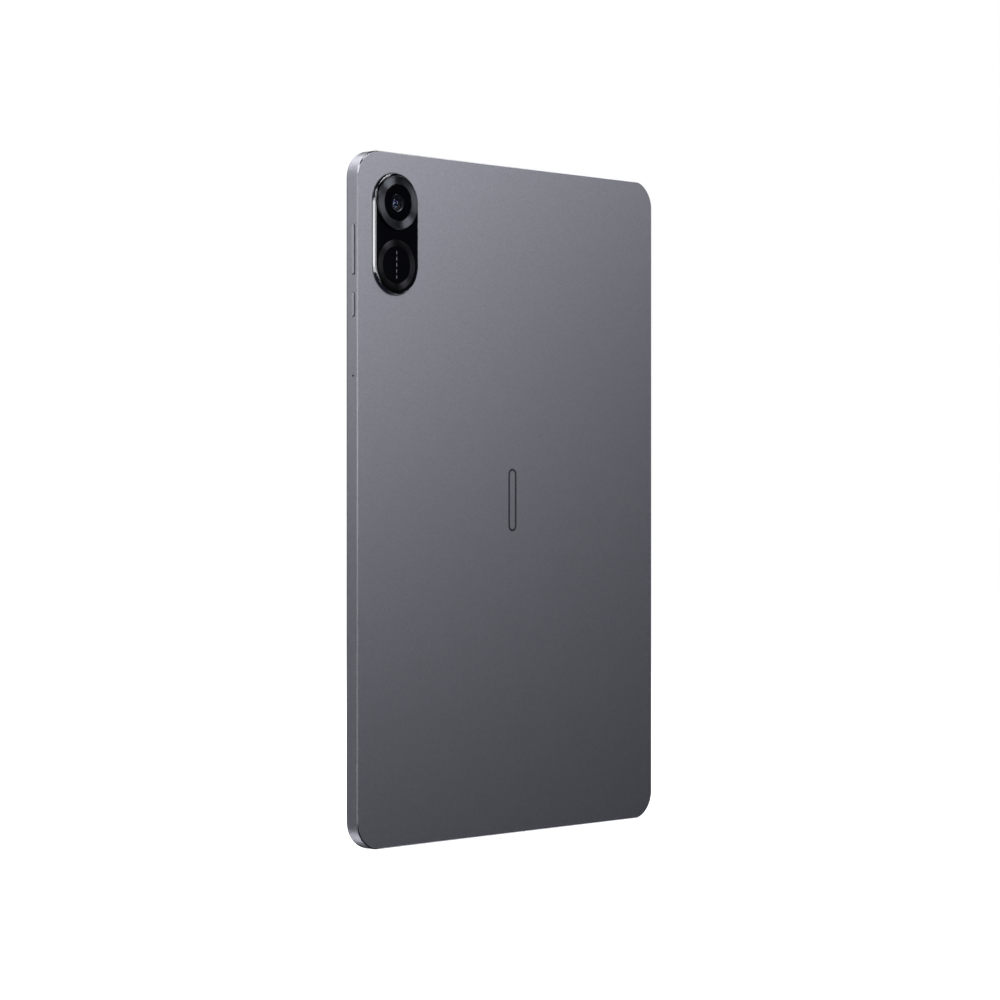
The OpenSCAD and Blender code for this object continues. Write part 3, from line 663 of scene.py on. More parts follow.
FINISHES = {finish.name: finish for finish in (
    Finish("anodised_cover", (0.31, 0.311, 0.353), (0.42, 0.421, 0.471), (0.42, 0.52), Pattern.SPARKLE,
           2600, bump=0.2, depth=0.02 * MM, metallic=1.0, constants=METAL),
    Finish("anodised_keys", (0.36, 0.36, 0.4), (0.42, 0.42, 0.465), (0.36, 0.46), Pattern.SPARKLE,
           3000, bump=0.1, metallic=1.0, constants=METAL),
    Finish("cut_edge", (0.6, 0.6, 0.635), (0.66, 0.66, 0.695), (0.2, 0.24), Pattern.BRUSHED,
           4000, metallic=1.0, constants=METAL),
    Finish("antenna_plastic", (0.25, 0.25, 0.27), (0.29, 0.29, 0.31), (0.4, 0.5), bump=0.1),
    Finish("mark_ink", (0.035, 0.035, 0.04), (0.05, 0.05, 0.055), (0.25, 0.35), Pattern.GRAIN, 5000),
    Finish("frame_plastic", (0.012, 0.012, 0.013), (0.022, 0.022, 0.024), (0.4, 0.55), bump=0.15),
    Finish("cover_glass", (0.93, 0.94, 0.95), (0.9, 0.91, 0.92), (0.0, 0.03), Pattern.SMUDGE, 30,
           constants=GLASS),
    Finish("black_print", (0.004, 0.004, 0.005), (0.007, 0.007, 0.008), (0.2, 0.3), Pattern.SMUDGE, 60),
    Finish("foam_tape", (0.04, 0.04, 0.04), (0.07, 0.07, 0.07), (0.85, 0.95), Pattern.GRAIN, 6000, bump=0.5),
    Finish("screen", (0.008, 0.009, 0.012), (0.002, 0.002, 0.003), (0.12, 0.18), Pattern.PIXELS,
           FULL_TURN / (0.12 * MM)),
    Finish("guide_acrylic", (0.82, 0.85, 0.87), (0.9, 0.92, 0.93), (0.1, 0.2), Pattern.WEAVE, 6000,
           bump=0.1, constants={"Coat Weight": 0.5}),
    Finish("lamp_phosphor", (0.85, 0.72, 0.22), (0.9, 0.82, 0.45), (0.3, 0.5), bump=0.2),
    Finish("stamped_steel", (0.52, 0.52, 0.52), (0.62, 0.62, 0.62), (0.28, 0.42), Pattern.BRUSHED, 1500,
           (1.0, 1.0, 0.04), bump=0.15, metallic=1.0, constants=METAL),
    Finish("flex_film", (0.32, 0.12, 0.02), (0.5, 0.24, 0.06), (0.25, 0.35), Pattern.TRACKS, 9000,
           bump=0.3, constants={"Coat Weight": 0.4}),
    Finish("polished_rim", (0.42, 0.42, 0.44), (0.5, 0.5, 0.52), (0.08, 0.14), Pattern.BRUSHED, 3000,
           bump=0.03, metallic=1.0, constants=METAL),
    Finish("gloss_plate", (0.0025, 0.0025, 0.003), (0.004, 0.004, 0.0045), (0.02, 0.07), Pattern.SMUDGE, 60,
           constants={"Specular IOR Level": 0.5, "Coat Weight": 0.3}),
    Finish("decor_metal", (0.02, 0.02, 0.022), (0.03, 0.03, 0.033), (0.34, 0.44), Pattern.TURNED, 9000,
           FLAT_RINGS, node_centre("decor_ring"), bump=0.05, metallic=1.0,
           constants={"Anisotropic": 1.0, "Anisotropic Rotation": 0.25}, turned_sheen=True),
    Finish("mark_silver", (0.2, 0.2, 0.21), (0.26, 0.26, 0.27), (0.35, 0.45), Pattern.GRAIN, 6000),
    Finish("brushed_ring", (0.07, 0.074, 0.085), (0.1, 0.105, 0.119), (0.3, 0.4), Pattern.TURNED, 9000,
           FLAT_RINGS, node_centre("lens_turret"), bump=0.05, metallic=1.0,
           constants={"Anisotropic": 1.0, "Anisotropic Rotation": 0.25}, turned_sheen=True),
    Finish("lens_cover", (0.9, 0.92, 0.95), (0.88, 0.9, 0.93), (0.0, 0.02), Pattern.SMUDGE, 120,
           constants=GLASS),
    Finish("printed_glass", (0.002, 0.002, 0.0025), (0.003, 0.003, 0.0035), (0.03, 0.08), Pattern.SMUDGE, 120,
           constants={"Specular IOR Level": 0.5}),
    Finish("trim_chrome", (0.26, 0.26, 0.28), (0.32, 0.32, 0.34), (0.26, 0.34), Pattern.TURNED, 20000,
           FLAT_RINGS, node_centre("lens_trim_ring"), bump=0.05, metallic=1.0, constants=METAL),
    Finish("magnet_nickel", (0.5, 0.49, 0.46), (0.58, 0.57, 0.53), (0.2, 0.3), metallic=1.0, constants=METAL),
    Finish("filter_glass", (0.6, 0.85, 0.9), (0.55, 0.8, 0.87), (0.0, 0.02), Pattern.SMUDGE, 200,
           constants=GLASS),
    Finish("sensor_die", (0.02, 0.06, 0.05), (0.08, 0.05, 0.12), (0.15, 0.25), Pattern.PIXELS, 30000),
    Finish("barrel_plastic", (0.006, 0.006, 0.006), (0.012, 0.012, 0.012), (0.45, 0.6), Pattern.TURNED, 12000,
           FLAT_RINGS, node_centre("lens_barrel"), bump=0.4, depth=0.02 * MM),
    Finish("coated_lens", (0.35, 0.4, 0.8), (0.5, 0.45, 0.85), (0.0, 0.02), Pattern.SMUDGE, 300,
           constants=COATED),
    Finish("copper_wire", (0.62, 0.25, 0.1), (0.75, 0.38, 0.18), (0.2, 0.3), Pattern.WINDING,
           FULL_TURN / (0.16 * MM), bump=0.6, depth=0.04 * MM, metallic=1.0, constants=METAL),
    Finish("dome_steel", (0.62, 0.62, 0.6), (0.7, 0.7, 0.68), (0.15, 0.25), metallic=1.0, constants=METAL),
    Finish("board_laminate", (0.008, 0.06, 0.03), (0.55, 0.4, 0.12), (0.3, 0.4), Pattern.BOARD, 420,
           bump=0.4, constants={"Coat Weight": 0.3}),
    Finish("chip_epoxy", (0.012, 0.012, 0.013), (0.022, 0.022, 0.024), (0.5, 0.65), Pattern.GRAIN, 9000,
           bump=0.3),
    Finish("shield_tin", (0.55, 0.54, 0.51), (0.65, 0.64, 0.6), (0.25, 0.38), Pattern.BRUSHED, 1800,
           (0.05, 1.0, 1.0), bump=0.12, metallic=1.0, constants=METAL),
    Finish("graphite_sheet", (0.03, 0.03, 0.032), (0.07, 0.07, 0.074), (0.35, 0.5), Pattern.WRINKLE, 300,
           bump=0.3, metallic=0.4),
    Finish("screw_steel", (0.18, 0.18, 0.19), (0.25, 0.25, 0.26), (0.25, 0.35), metallic=1.0,
           constants=METAL),
    Finish("socket_steel", (0.5, 0.5, 0.51), (0.58, 0.58, 0.59), (0.2, 0.3), Pattern.BRUSHED, 2500,
           (1.0, 1.0, 0.05), bump=0.1, metallic=1.0, constants=METAL),
    Finish("tongue_plastic", (0.01, 0.01, 0.01), (0.018, 0.018, 0.018), (0.4, 0.5), bump=0.15),
    Finish("contact_gold", (0.8, 0.52, 0.18), (0.88, 0.6, 0.25), (0.15, 0.25), metallic=1.0, constants=METAL),
    Finish("pouch_foil", (0.09, 0.09, 0.095), (0.14, 0.14, 0.145), (0.3, 0.45), Pattern.WRINKLE, 90,
           bump=0.5, depth=0.1 * MM, metallic=0.6),
    Finish("white_tape", (0.75, 0.75, 0.73), (0.82, 0.82, 0.8), (0.5, 0.6), Pattern.GRAIN, 2500, bump=0.2),
    Finish("speaker_plastic", (0.012, 0.012, 0.012), (0.02, 0.02, 0.02), (0.45, 0.6), bump=0.25),
    Finish("mesh_fabric", (0.012, 0.012, 0.012), (0.035, 0.035, 0.036), (0.6, 0.8), Pattern.WEAVE,
           FULL_TURN / (0.16 * MM), bump=0.8, depth=0.05 * MM),
    Finish("cone_film", (0.5, 0.5, 0.5), (0.6, 0.6, 0.6), (0.25, 0.35), Pattern.WRINKLE, 700, bump=0.2),
    Finish("microphone_can", (0.7, 0.52, 0.22), (0.78, 0.6, 0.3), (0.2, 0.3), metallic=1.0, constants=METAL),
    Finish("antenna_carrier", (0.32, 0.16, 0.05), (0.6, 0.3, 0.12), (0.3, 0.4), Pattern.BOARD, 260, bump=0.3),
)}


def dress_nodes() -> None:
    """Gives every CAD node the finish of its own slot."""
    for row in frame["record"]["subparts"]:
        node = frame["nodes"][row["node"]]
        finish = FINISHES[row["material_slot"]].material()
        for place in node.material_slots:
            place.material = finish
        if not node.material_slots:
            node.data.materials.append(finish)


# ---------------------------------------------------------------------------------------------
# The tablet's pieces
# ---------------------------------------------------------------------------------------------


@dataclass
class RearCover:
    """The aluminium shell: back, side walls and the bright chamfer in one piece."""

    corner_radius: float = 11 * MM
    side_wall: float = 1.4 * MM
    back_wall: float = 0.8 * MM
    chamfer: float = 0.4 * MM
    edge_round: float = 0.06 * MM
    rim_round: float = 0.15 * MM
    inner_round: float = 0.5 * MM
    cap_inset: float = 4 * MM
    key_gap: float = 0.2 * MM
    flange_extra: float = 0.5 * MM
    hole_flare: float = 0.1 * MM
    hole_pitch: float = 2.2 * MM
    hole_radius: float = 0.6 * MM
    holes_in_row: int = 10
    microphone_radius: float = 0.5 * MM
    microphone_half: float = 1.8 * MM
    port_gap: float = 0.1 * MM
    port_flare: float = 0.15 * MM
    port_depth: float = 2.5 * MM
    camera_inset: float = 0.9 * MM
    camera_depth: float = 2 * MM
    break_width: float = 1.2 * MM
    break_depth: float = 0.5 * MM
    boss_radius: float = 1.5 * MM
    boss_bore: float = 0.56 * MM
    boss_edge: float = 0.1 * MM
    boss_root: float = 0.1 * MM
    boss_columns: tuple[float, ...] = (-66 * MM, -13 * MM, 42 * MM)
    boss_low_row: float = 198 * MM
    boss_high_rows: tuple[float, ...] = (246 * MM, 246 * MM, 238 * MM)
    box: NodeBox = field(default_factory=lambda: NodeBox.of("rear_cover"))

    def outline(self) -> Outline:
        """The body's outline."""
        width, _, height = self.box.size
        return Outline.rounded(width, height, self.corner_radius, 32)

    def shell(self) -> Shape:
        """The tray before its holes are cut."""
        back, rim = self.box.high[1], self.box.low[1]
        cavity = back - self.back_wall
        profile = filleted([
            (self.cap_inset, back, 0), (self.chamfer, back, self.edge_round),
            (0, back - self.chamfer, self.edge_round), (0, rim, self.rim_round),
            (self.side_wall, rim, self.rim_round), (self.side_wall, cavity, self.inner_round),
            (self.cap_inset, cavity, 0)])
        centre = np.array([self.box.centre[0], 0, self.box.centre[2]])
        return Shape.swept(self.outline(), profile, Facing.BACK, centre)

    def key_slot(self, node: str) -> Shape:
        """The slot in the key wall for one key.

        Args:
            node: The key's CAD node, whose flange is wider than the slot on every side.

        Returns:
            The slot's cutter, with a chamfered mouth.
        """
        key = NodeBox.of(node)
        radius = key.size[1] / 2 - self.flange_extra + self.key_gap
        length = key.size[2] - 2 * self.flange_extra + 2 * self.key_gap
        outline = Outline.rounded(2 * radius, length, radius, 12)
        centre = np.array([0, key.centre[1], key.centre[2]])
        face = self.box.high[0]
        return hole(outline, face - self.side_wall - OVERRUN, face, self.hole_flare, Facing.KEYS, centre)

    def round_hole(self, radius: float, facing: Facing, centre: np.ndarray, face: float) -> Shape:
        """A small round hole through a side wall.

        Args:
            radius: The hole's radius.
            facing: The way out of the hole.
            centre: A point on the hole's axis, with nothing along the way out.
            face: Where the wall's outer face is, along the way out.

        Returns:
            The hole's cutter.
        """
        return hole(Outline.circle(radius, 6), face - self.side_wall - OVERRUN, face, self.hole_flare / 2,
                    facing, centre)

    def speaker_holes(self) -> list[Shape]:
        """Four rows of holes, two in each short wall."""
        reach = abs(NodeBox.of("speaker_cone_1").centre[0])
        middle = self.box.centre
        made = []
        for facing, face in ((Facing.DOWN, -self.box.low[2]), (Facing.UP, self.box.high[2])):
            for side in (-1, 1):
                for spot in np.arange(self.holes_in_row) - (self.holes_in_row - 1) / 2:
                    across = middle[0] + side * reach + spot * self.hole_pitch
                    axis = np.array([across, middle[1], 0])
                    made.append(self.round_hole(self.hole_radius, facing, axis, face))
        return made

    def camera_opening(self) -> Shape:
        """The opening in the back that the camera rim's spigot goes through."""
        rim, back = NodeBox.of("camera_rim"), self.box.high[1]
        radius = rim.size[0] / 2 - self.camera_inset
        outline = Outline.rounded(2 * radius, rim.size[2] - 2 * self.camera_inset, radius, 24)
        profile = np.array([[0, back - self.camera_depth], [0, back + OVERRUN]])
        return Shape.swept(outline, profile, Facing.BACK, np.array([rim.centre[0], 0, rim.centre[2]]))

    def port_opening(self) -> Shape:
        """The opening in the bottom wall for the USB-C socket."""
        shell = NodeBox.of("usb_shell")
        radius = shell.size[1] / 2 + self.port_gap
        outline = Outline.rounded(shell.size[0] + 2 * self.port_gap, 2 * radius, radius, 12)
        centre = np.array([shell.centre[0], shell.centre[1], 0])
        return hole(outline, -self.port_depth, 0, self.port_flare, Facing.DOWN, centre)

    def microphone_holes(self) -> list[Shape]:
        """The hole below the keys and the one in the bottom wall, each over the middle of its can."""
        cans, key_y = NodeBox.of("microphones"), NodeBox.of("volume_rocker").centre[1]
        side_axis = np.array([0, key_y, cans.high[2] - self.microphone_half])
        low_axis = np.array([cans.low[0] + self.microphone_half, self.box.centre[1], 0])
        return [self.round_hole(self.microphone_radius, Facing.KEYS, side_axis, self.box.high[0]),
                self.round_hole(self.microphone_radius, Facing.DOWN, low_axis, 0)]

    def cutters(self) -> Shape:
        """Everything that is cut out of the shell."""
        shapes = [
            self.camera_opening(),
            self.key_slot("volume_rocker"),
            self.key_slot("power_button"),
            self.port_opening(),
            *self.microphone_holes(),
            EmblemInlay().groove(),
        ]
        return Shape.joined(shapes + self.speaker_holes() + self.antenna_slots())

    def antenna_slots(self) -> list[Shape]:
        """The two notches in the top wall that hold the antenna breaks."""
        breaks = NodeBox.of("antenna_breaks")
        half = self.break_width / 2
        depth = breaks.size[1] + OVERRUN
        notch = Outline.rounded(self.break_width, depth, 0.01 * MM, 2)
        profile = np.array([[0, breaks.low[2] - self.break_depth], [0, breaks.high[2] + OVERRUN]])
        return [Shape.swept(notch, profile, Facing.UP, np.array([middle, breaks.high[1] - depth / 2, 0]))
                for middle in (breaks.low[0] + half, breaks.high[0] - half)]

    def polish_chamfer(self, piece: bpy.types.Object) -> None:
        """Gives the bright finish to the faces that slope between the back and the walls.

        Args:
            piece: The shell, whose second material is the bright one.
        """
        count = len(piece.data.polygons)
        normals = np.empty(count * 3, np.float32)
        centres = np.empty(count * 3, np.float32)
        piece.data.polygons.foreach_get("normal", normals)
        piece.data.polygons.foreach_get("center", centres)
        slope = normals.reshape(-1, 3)[:, 1]
        height = centres.reshape(-1, 3)[:, 1]
        bright = (slope > 0.25) & (slope < 0.97) & (height > self.box.high[1] - 1.1 * self.chamfer)
        piece.data.polygons.foreach_set("material_index", bright.astype(np.int32))

    def bosses(self) -> list[Shape]:
        """The six tubes inside the back that the main board's screws go into."""
        end = NodeBox.of("main_board").high[1]
        root = self.box.high[1] - self.back_wall + self.boss_root
        bore, edge = self.boss_radius - self.boss_bore, self.boss_edge
        profile = filleted([(0, end, edge), (0, root, 0), (bore, root, 0), (bore, end, edge)], 3, closed=True)
        outline = Outline.circle(self.boss_radius, 8)
        spots = [(column, height) for column, top_row in zip(self.boss_columns, self.boss_high_rows)
                 for height in (self.boss_low_row, top_row)]
        return [Shape.swept(outline, profile, Facing.BACK, np.array([column, 0, height]), closed=True)
                for column, height in spots]

    def build(self) -> None:
        """Builds, cuts and dresses the shell, and adds the screw bosses inside it."""
        install(Shape.joined(self.bosses()).piece("rear_cover_bosses"), "housing", "anodised_cover")
        piece = self.shell().piece("rear_cover_shell")
        cut(piece, self.cutters())
        piece.data.materials.clear()
        piece.data.materials.append(FINISHES["anodised_cover"].material())
        piece.data.materials.append(FINISHES["cut_edge"].material())
        self.polish_chamfer(piece)
        install(piece, "housing", "anodised_cover", "rear_cover")


@dataclass
class EmblemInlay:
    """The plain pill outline set flush into the middle of the back."""

    stroke: float = 0.9 * MM
    gap: float = 0.02 * MM
    sink: float = 0.01 * MM
    edge_round: float = 0.03 * MM
    box: NodeBox = field(default_factory=lambda: NodeBox.of("emblem_inlay"))

    def outline(self) -> Outline:
        """The inlay's outer outline."""
        width, _, height = self.box.size
        return Outline.rounded(width, height, width / 2, 16)

    def groove(self) -> Shape:
        """The ring-shaped cutter of the groove that holds the inlay."""
        low, high = self.box.low[1], self.box.high[1] + OVERRUN
        profile = np.array([[0, low], [0, high], [self.stroke, high], [self.stroke, low]])
        return Shape.swept(self.outline(), profile, Facing.BACK, self.centre(), closed=True)

    def centre(self) -> np.ndarray:
        """Middle of the inlay in the back's plane."""
        return np.array([self.box.centre[0], 0, self.box.centre[2]])

    def build(self) -> None:
        """Builds the inlay with softly rounded top edges, a hair below the back face."""
        low, high = self.box.low[1] - self.gap, self.box.high[1] - self.sink
        inner = self.stroke - self.gap
        profile = filleted([
            (self.gap, low, 0), (self.gap, high, self.edge_round), (inner, high, self.edge_round),
            (inner, low, 0)], 3, closed=True)
        ring = Shape.swept(self.outline(), profile, Facing.BACK, self.centre(), closed=True)
        install(ring.piece("emblem_ring"), "housing", "mark_ink", "emblem_inlay")


@dataclass
class SideKey:
    """A key: the rounded cap in the wall's slot, its flange inside and its nubs."""

    node: str
    body: str
    nub_shifts: tuple[float, ...]
    nub_radius: float = 0.6 * MM
    flange_extra: float = 0.5 * MM
    flange_thickness: float = 0.55 * MM
    flange_gap: float = 0.35 * MM
    crown: float = 0.04 * MM
    fulcrum_radius: float = 0.0

    def build(self) -> None:
        """Builds the key from one profile that steps from the flange to the crowned cap."""
        box = NodeBox.of(self.node)
        top = box.high[0]
        wall = NodeBox.of("rear_cover").high[0] - RearCover.side_wall
        flange_top = wall - self.flange_gap
        flange_low = flange_top - self.flange_thickness
        radius = box.size[1] / 2 - self.flange_extra
        outline = Outline.rounded(2 * radius, box.size[2] - 2 * self.flange_extra, radius, 16)
        extra = self.flange_extra
        profile = filleted([
            (0.5 * MM, flange_low, 0), (-extra, flange_low, 0.1 * MM), (-extra, flange_top, 0.1 * MM),
            (0, flange_top, 0.05 * MM), (0, top - self.crown, 0.18 * MM),
            (0.35 * MM, top - self.crown / 3, 0.2 * MM), (0.8 * MM, top, 0)], 5)
        centre = np.array([0, box.centre[1], box.centre[2]])
        shapes = [Shape.swept(outline, profile, Facing.KEYS, centre)]
        for shift in self.nub_shifts:
            nub = filleted([(0.2 * MM, box.low[0], 0), (0, box.low[0], 0.08 * MM),
                            (0, flange_low + 0.1 * MM, 0)], 3)
            spot = np.array([0, box.centre[1], box.centre[2] + shift])
            shapes.append(Shape.swept(Outline.circle(self.nub_radius, 6), nub, Facing.KEYS, spot))
        if self.fulcrum_radius > 0:
            shapes.append(self.fulcrum(box, flange_low - 0.1 * MM))
        piece = Shape.joined(shapes).piece(self.node + "_cap")
        install(piece, self.body, "anodised_keys", self.node)

    def fulcrum(self, box: NodeBox, axis_x: float) -> Shape:
        """The round rib behind the middle of the rocker."""
        half = box.size[1] / 2
        profile = filleted([(0.1 * MM, -half, 0), (0, -half, 0.05 * MM), (0, half, 0.05 * MM),
                            (0.1 * MM, half, 0)], 3)
        centre = np.array([axis_x, box.centre[1], box.centre[2]])
        return Shape.swept(Outline.circle(self.fulcrum_radius, 6), profile, Facing.BACK, centre)


@dataclass
class CameraIsland:
    """The rim, plate, rings and glass that stand proud of the back."""

    window: float = 3.4 * MM
    rim_width: float = 0.7 * MM
    flank: float = 0.55 * MM
    flank_start: float = 0.36 * MM
    ledge: float = 0.8 * MM
    spigot_inset: float = 0.95 * MM
    plate_gap: float = 0.03 * MM
    plate_bore: float = 9 * MM
    foot: float = 0.12 * MM
    seat_radius: float = 6.55 * MM
    spigot_radius: float = 8.97 * MM
    decor_width: float = 2.55 * MM
    dash_count: int = 5
    dash_length: float = 1.4 * MM
    trim_width: float = 0.45 * MM
    rim: NodeBox = field(default_factory=lambda: NodeBox.of("camera_rim"))
    plate: NodeBox = field(default_factory=lambda: NodeBox.of("camera_plate"))
    turret: NodeBox = field(default_factory=lambda: NodeBox.of("lens_turret"))
    decor: NodeBox = field(default_factory=lambda: NodeBox.of("decor_ring"))
    back: float = field(default_factory=lambda: float(NodeBox.of("rear_cover").high[1]))

    def flat(self, box: NodeBox) -> np.ndarray:
        """Middle of a box in the back's plane."""
        return np.array([box.centre[0], 0, box.centre[2]])

    def pill(self, inset: float) -> Outline:
        """The island's outline, moved inwards."""
        radius = self.rim.size[0] / 2 - inset
        return Outline.rounded(2 * radius, self.rim.size[2] - 2 * inset, radius, 40)

    def build_rim(self) -> None:
        """Builds the bright rim: an undercut foot, a bevelled crest, the ledge and the spigot."""
        top, ledge_y = self.rim.high[1], self.plate.low[1]
        inner = self.rim_width + self.ledge
        profile = filleted([
            (self.foot, self.back, 0), (self.foot, self.back + 0.14 * MM, 0),
            (0, self.back + 0.2 * MM, 0.03 * MM), (0, self.back + self.flank_start, 0.2 * MM),
            (self.flank, top, 0.12 * MM), (self.rim_width, top, 0.03 * MM),
            (self.rim_width, ledge_y, 0.04 * MM), (inner, ledge_y, 0.05 * MM),
            (inner, self.rim.low[1], 0.05 * MM), (self.spigot_inset, self.rim.low[1], 0.05 * MM),
            (self.spigot_inset, self.back, 0)], 4, closed=True)
        shape = Shape.swept(self.pill(0), profile, Facing.BACK, self.flat(self.rim), closed=True)
        install(shape.piece("camera_rim_ring"), "housing", "polished_rim", "camera_rim")

    def build_plate(self) -> None:
        """Builds the glossy plate with a rolled edge, and cuts the lens hole and the shallow grooves."""
        inset = self.rim_width + self.plate_gap
        low, high = self.plate.low[1], self.plate.high[1]
        profile = filleted([
            (3 * MM, low, 0), (0, low, 0.1 * MM), (0, high - 0.06 * MM, 0.12 * MM),
            (0.5 * MM, high, 0.8 * MM), (1.2 * MM, high, 0)], 5)
        slab = Shape.swept(self.pill(inset), profile, Facing.BACK, self.flat(self.plate))
        piece = slab.piece("camera_plate_glass")
        past = high + OVERRUN
        bore = Outline.circle(self.plate_bore, 32)
        lens = Shape.swept(bore, np.array([[0, low - OVERRUN], [0, past]]), Facing.BACK,
                           self.flat(self.turret))
        cut(piece, Shape.joined([lens, self.decor_groove(past)] + self.dashes(past, 0)))
        install(piece, "housing", "gloss_plate", "camera_plate")

    def decor_groove(self, top: float) -> Shape:
        """The cutter of the ring-shaped groove in the plate."""
        low, width = self.decor.low[1], self.decor_width
        outline = Outline.circle(self.decor.size[0] / 2, 32)
        profile = np.array([[0, low], [0, top], [width, top], [width, low]])
        return Shape.swept(outline, profile, Facing.BACK, self.flat(self.decor), closed=True)

    def dashes(self, top: float, gap: float) -> list[Shape]:
        """Short dashes in a column, as cutters or as inlays.

        Args:
            top: Where the dashes end over the plate.
            gap: How far each dash is held in from its groove's wall, 0 for a cutter.

        Returns:
            One shape to a dash, from the lowest up.
        """
        mark = NodeBox.of("plate_mark")
        count, width, length = self.dash_count, mark.size[0], self.dash_length
        pitch = (mark.size[2] - length) / (count - 1)
        outline = Outline.rounded(width - 2 * gap, length - 2 * gap, width / 2 - gap, 4)
        made = []
        for spot in np.arange(count) - (count - 1) / 2:
            centre = np.array([mark.centre[0], 0, mark.centre[2] + spot * pitch])
            profile = np.array([[0, mark.low[1]], [0, top]])
            made.append(Shape.swept(outline, profile, Facing.BACK, centre))
        return made

    def build_decor(self) -> None:
        """Builds the flush ring as a very shallow cone, and the dashes inside it."""
        outline, width = Outline.circle(self.decor.size[0] / 2, 48), self.decor_width
        low, high, gap = self.decor.low[1], self.decor.high[1], 0.01 * MM
        profile = filleted([
            (gap, low, 0), (gap, high - 0.01 * MM, 0.01 * MM), (width / 2, high - 0.03 * MM, 0),
            (width - gap, high - 0.06 * MM, 0.01 * MM), (width - gap, low, 0)], 2, closed=True)
        shape = Shape.swept(outline, profile, Facing.BACK, self.flat(self.decor), closed=True)
        install(shape.piece("decor_ring_inlay"), "housing", "decor_metal", "decor_ring")
        mark = NodeBox.of("plate_mark")
        inlays = Shape.joined(self.dashes(mark.high[1] - 0.01 * MM, gap))
        install(inlays.piece("plate_mark_dashes"), "housing", "mark_silver", "plate_mark")

    def build_turret(self) -> None:
        """Builds the raised ring: a dark wall with a waist groove, a bevel and a shallow cone inside."""
        radius = self.turret.size[0] / 2
        top, foot = self.turret.high[1], self.plate.high[1]
        glass = NodeBox.of("lens_glass")
        glass_inset = radius - glass.size[0] / 2 - 0.05 * MM
        seat_inset = radius - self.seat_radius
        bore_inset = radius - self.spigot_radius
        profile = filleted([
            (0.12 * MM, foot, 0), (0.12 * MM, foot + 0.1 * MM, 0.03 * MM), (0, foot + 0.2 * MM, 0.05 * MM),
            (0, top - 0.32 * MM, 0.12 * MM), (0.22 * MM, top, 0.08 * MM), (0.5 * MM, top, 0.05 * MM),
            (0.62 * MM, top - 0.16 * MM, 0.03 * MM),
            (glass_inset - 0.35 * MM, glass.high[1] + 0.22 * MM, 0.05 * MM),
            (glass_inset - 0.2 * MM, glass.high[1] + 0.26 * MM, 0.04 * MM),
            (glass_inset, glass.high[1] + 0.06 * MM, 0.04 * MM), (glass_inset, glass.low[1], 0.02 * MM),
            (seat_inset, glass.low[1], 0.05 * MM), (seat_inset, self.turret.low[1], 0.05 * MM),
            (bore_inset, self.turret.low[1], 0.05 * MM), (bore_inset, foot, 0)], 4, closed=True)
        outline = Outline.circle(radius, 48)
        shape = Shape.swept(outline, profile, Facing.BACK, self.flat(self.turret), closed=True)
        install(shape.piece("lens_turret_ring"), "housing", "brushed_ring", "lens_turret")

    def build_glass(self) -> None:
        """Builds the lens cover, printed black round its window, and the bright trim behind the window."""
        glass = NodeBox.of("lens_glass")
        radius = glass.size[0] / 2
        print_width = radius - self.window
        profile = filleted([
            (print_width, glass.low[1], 0), (0, glass.low[1], 0.05 * MM), (0, glass.high[1], 0.12 * MM),
            (print_width, glass.high[1], 0)], 5)
        disc = Shape.swept(Outline.circle(radius, 40), profile, Facing.BACK, self.flat(glass))
        cover = disc.piece("lens_cover_glass")
        cover.data.materials.append(FINISHES["lens_cover"].material())
        cover.data.materials.append(FINISHES["printed_glass"].material())
        printed = np.ones(len(cover.data.polygons), np.int32)
        printed[-2:] = 0
        cover.data.polygons.foreach_set("material_index", printed)
        install(cover, "housing", "lens_cover", "lens_glass")
        trim = NodeBox.of("lens_trim_ring")
        outer, width = trim.size[0] / 2, self.trim_width
        low, high = trim.low[1], trim.high[1] - 0.01 * MM
        section = filleted([
            (0, low, 0.03 * MM), (0, high, 0.05 * MM), (width * 0.45, high, 0.04 * MM),
            (width, low + 0.04 * MM, 0.04 * MM), (width, low, 0.02 * MM)], 4, closed=True)
        ring = Shape.swept(Outline.circle(outer, 32), section, Facing.BACK, self.flat(trim), closed=True)
        install(ring.piece("lens_trim_bezel"), "housing", "trim_chrome", "lens_trim_ring")

    def build(self) -> None:
        """Builds every piece of the island."""
        self.build_rim()
        self.build_plate()
        self.build_decor()
        self.build_turret()
        self.build_glass()


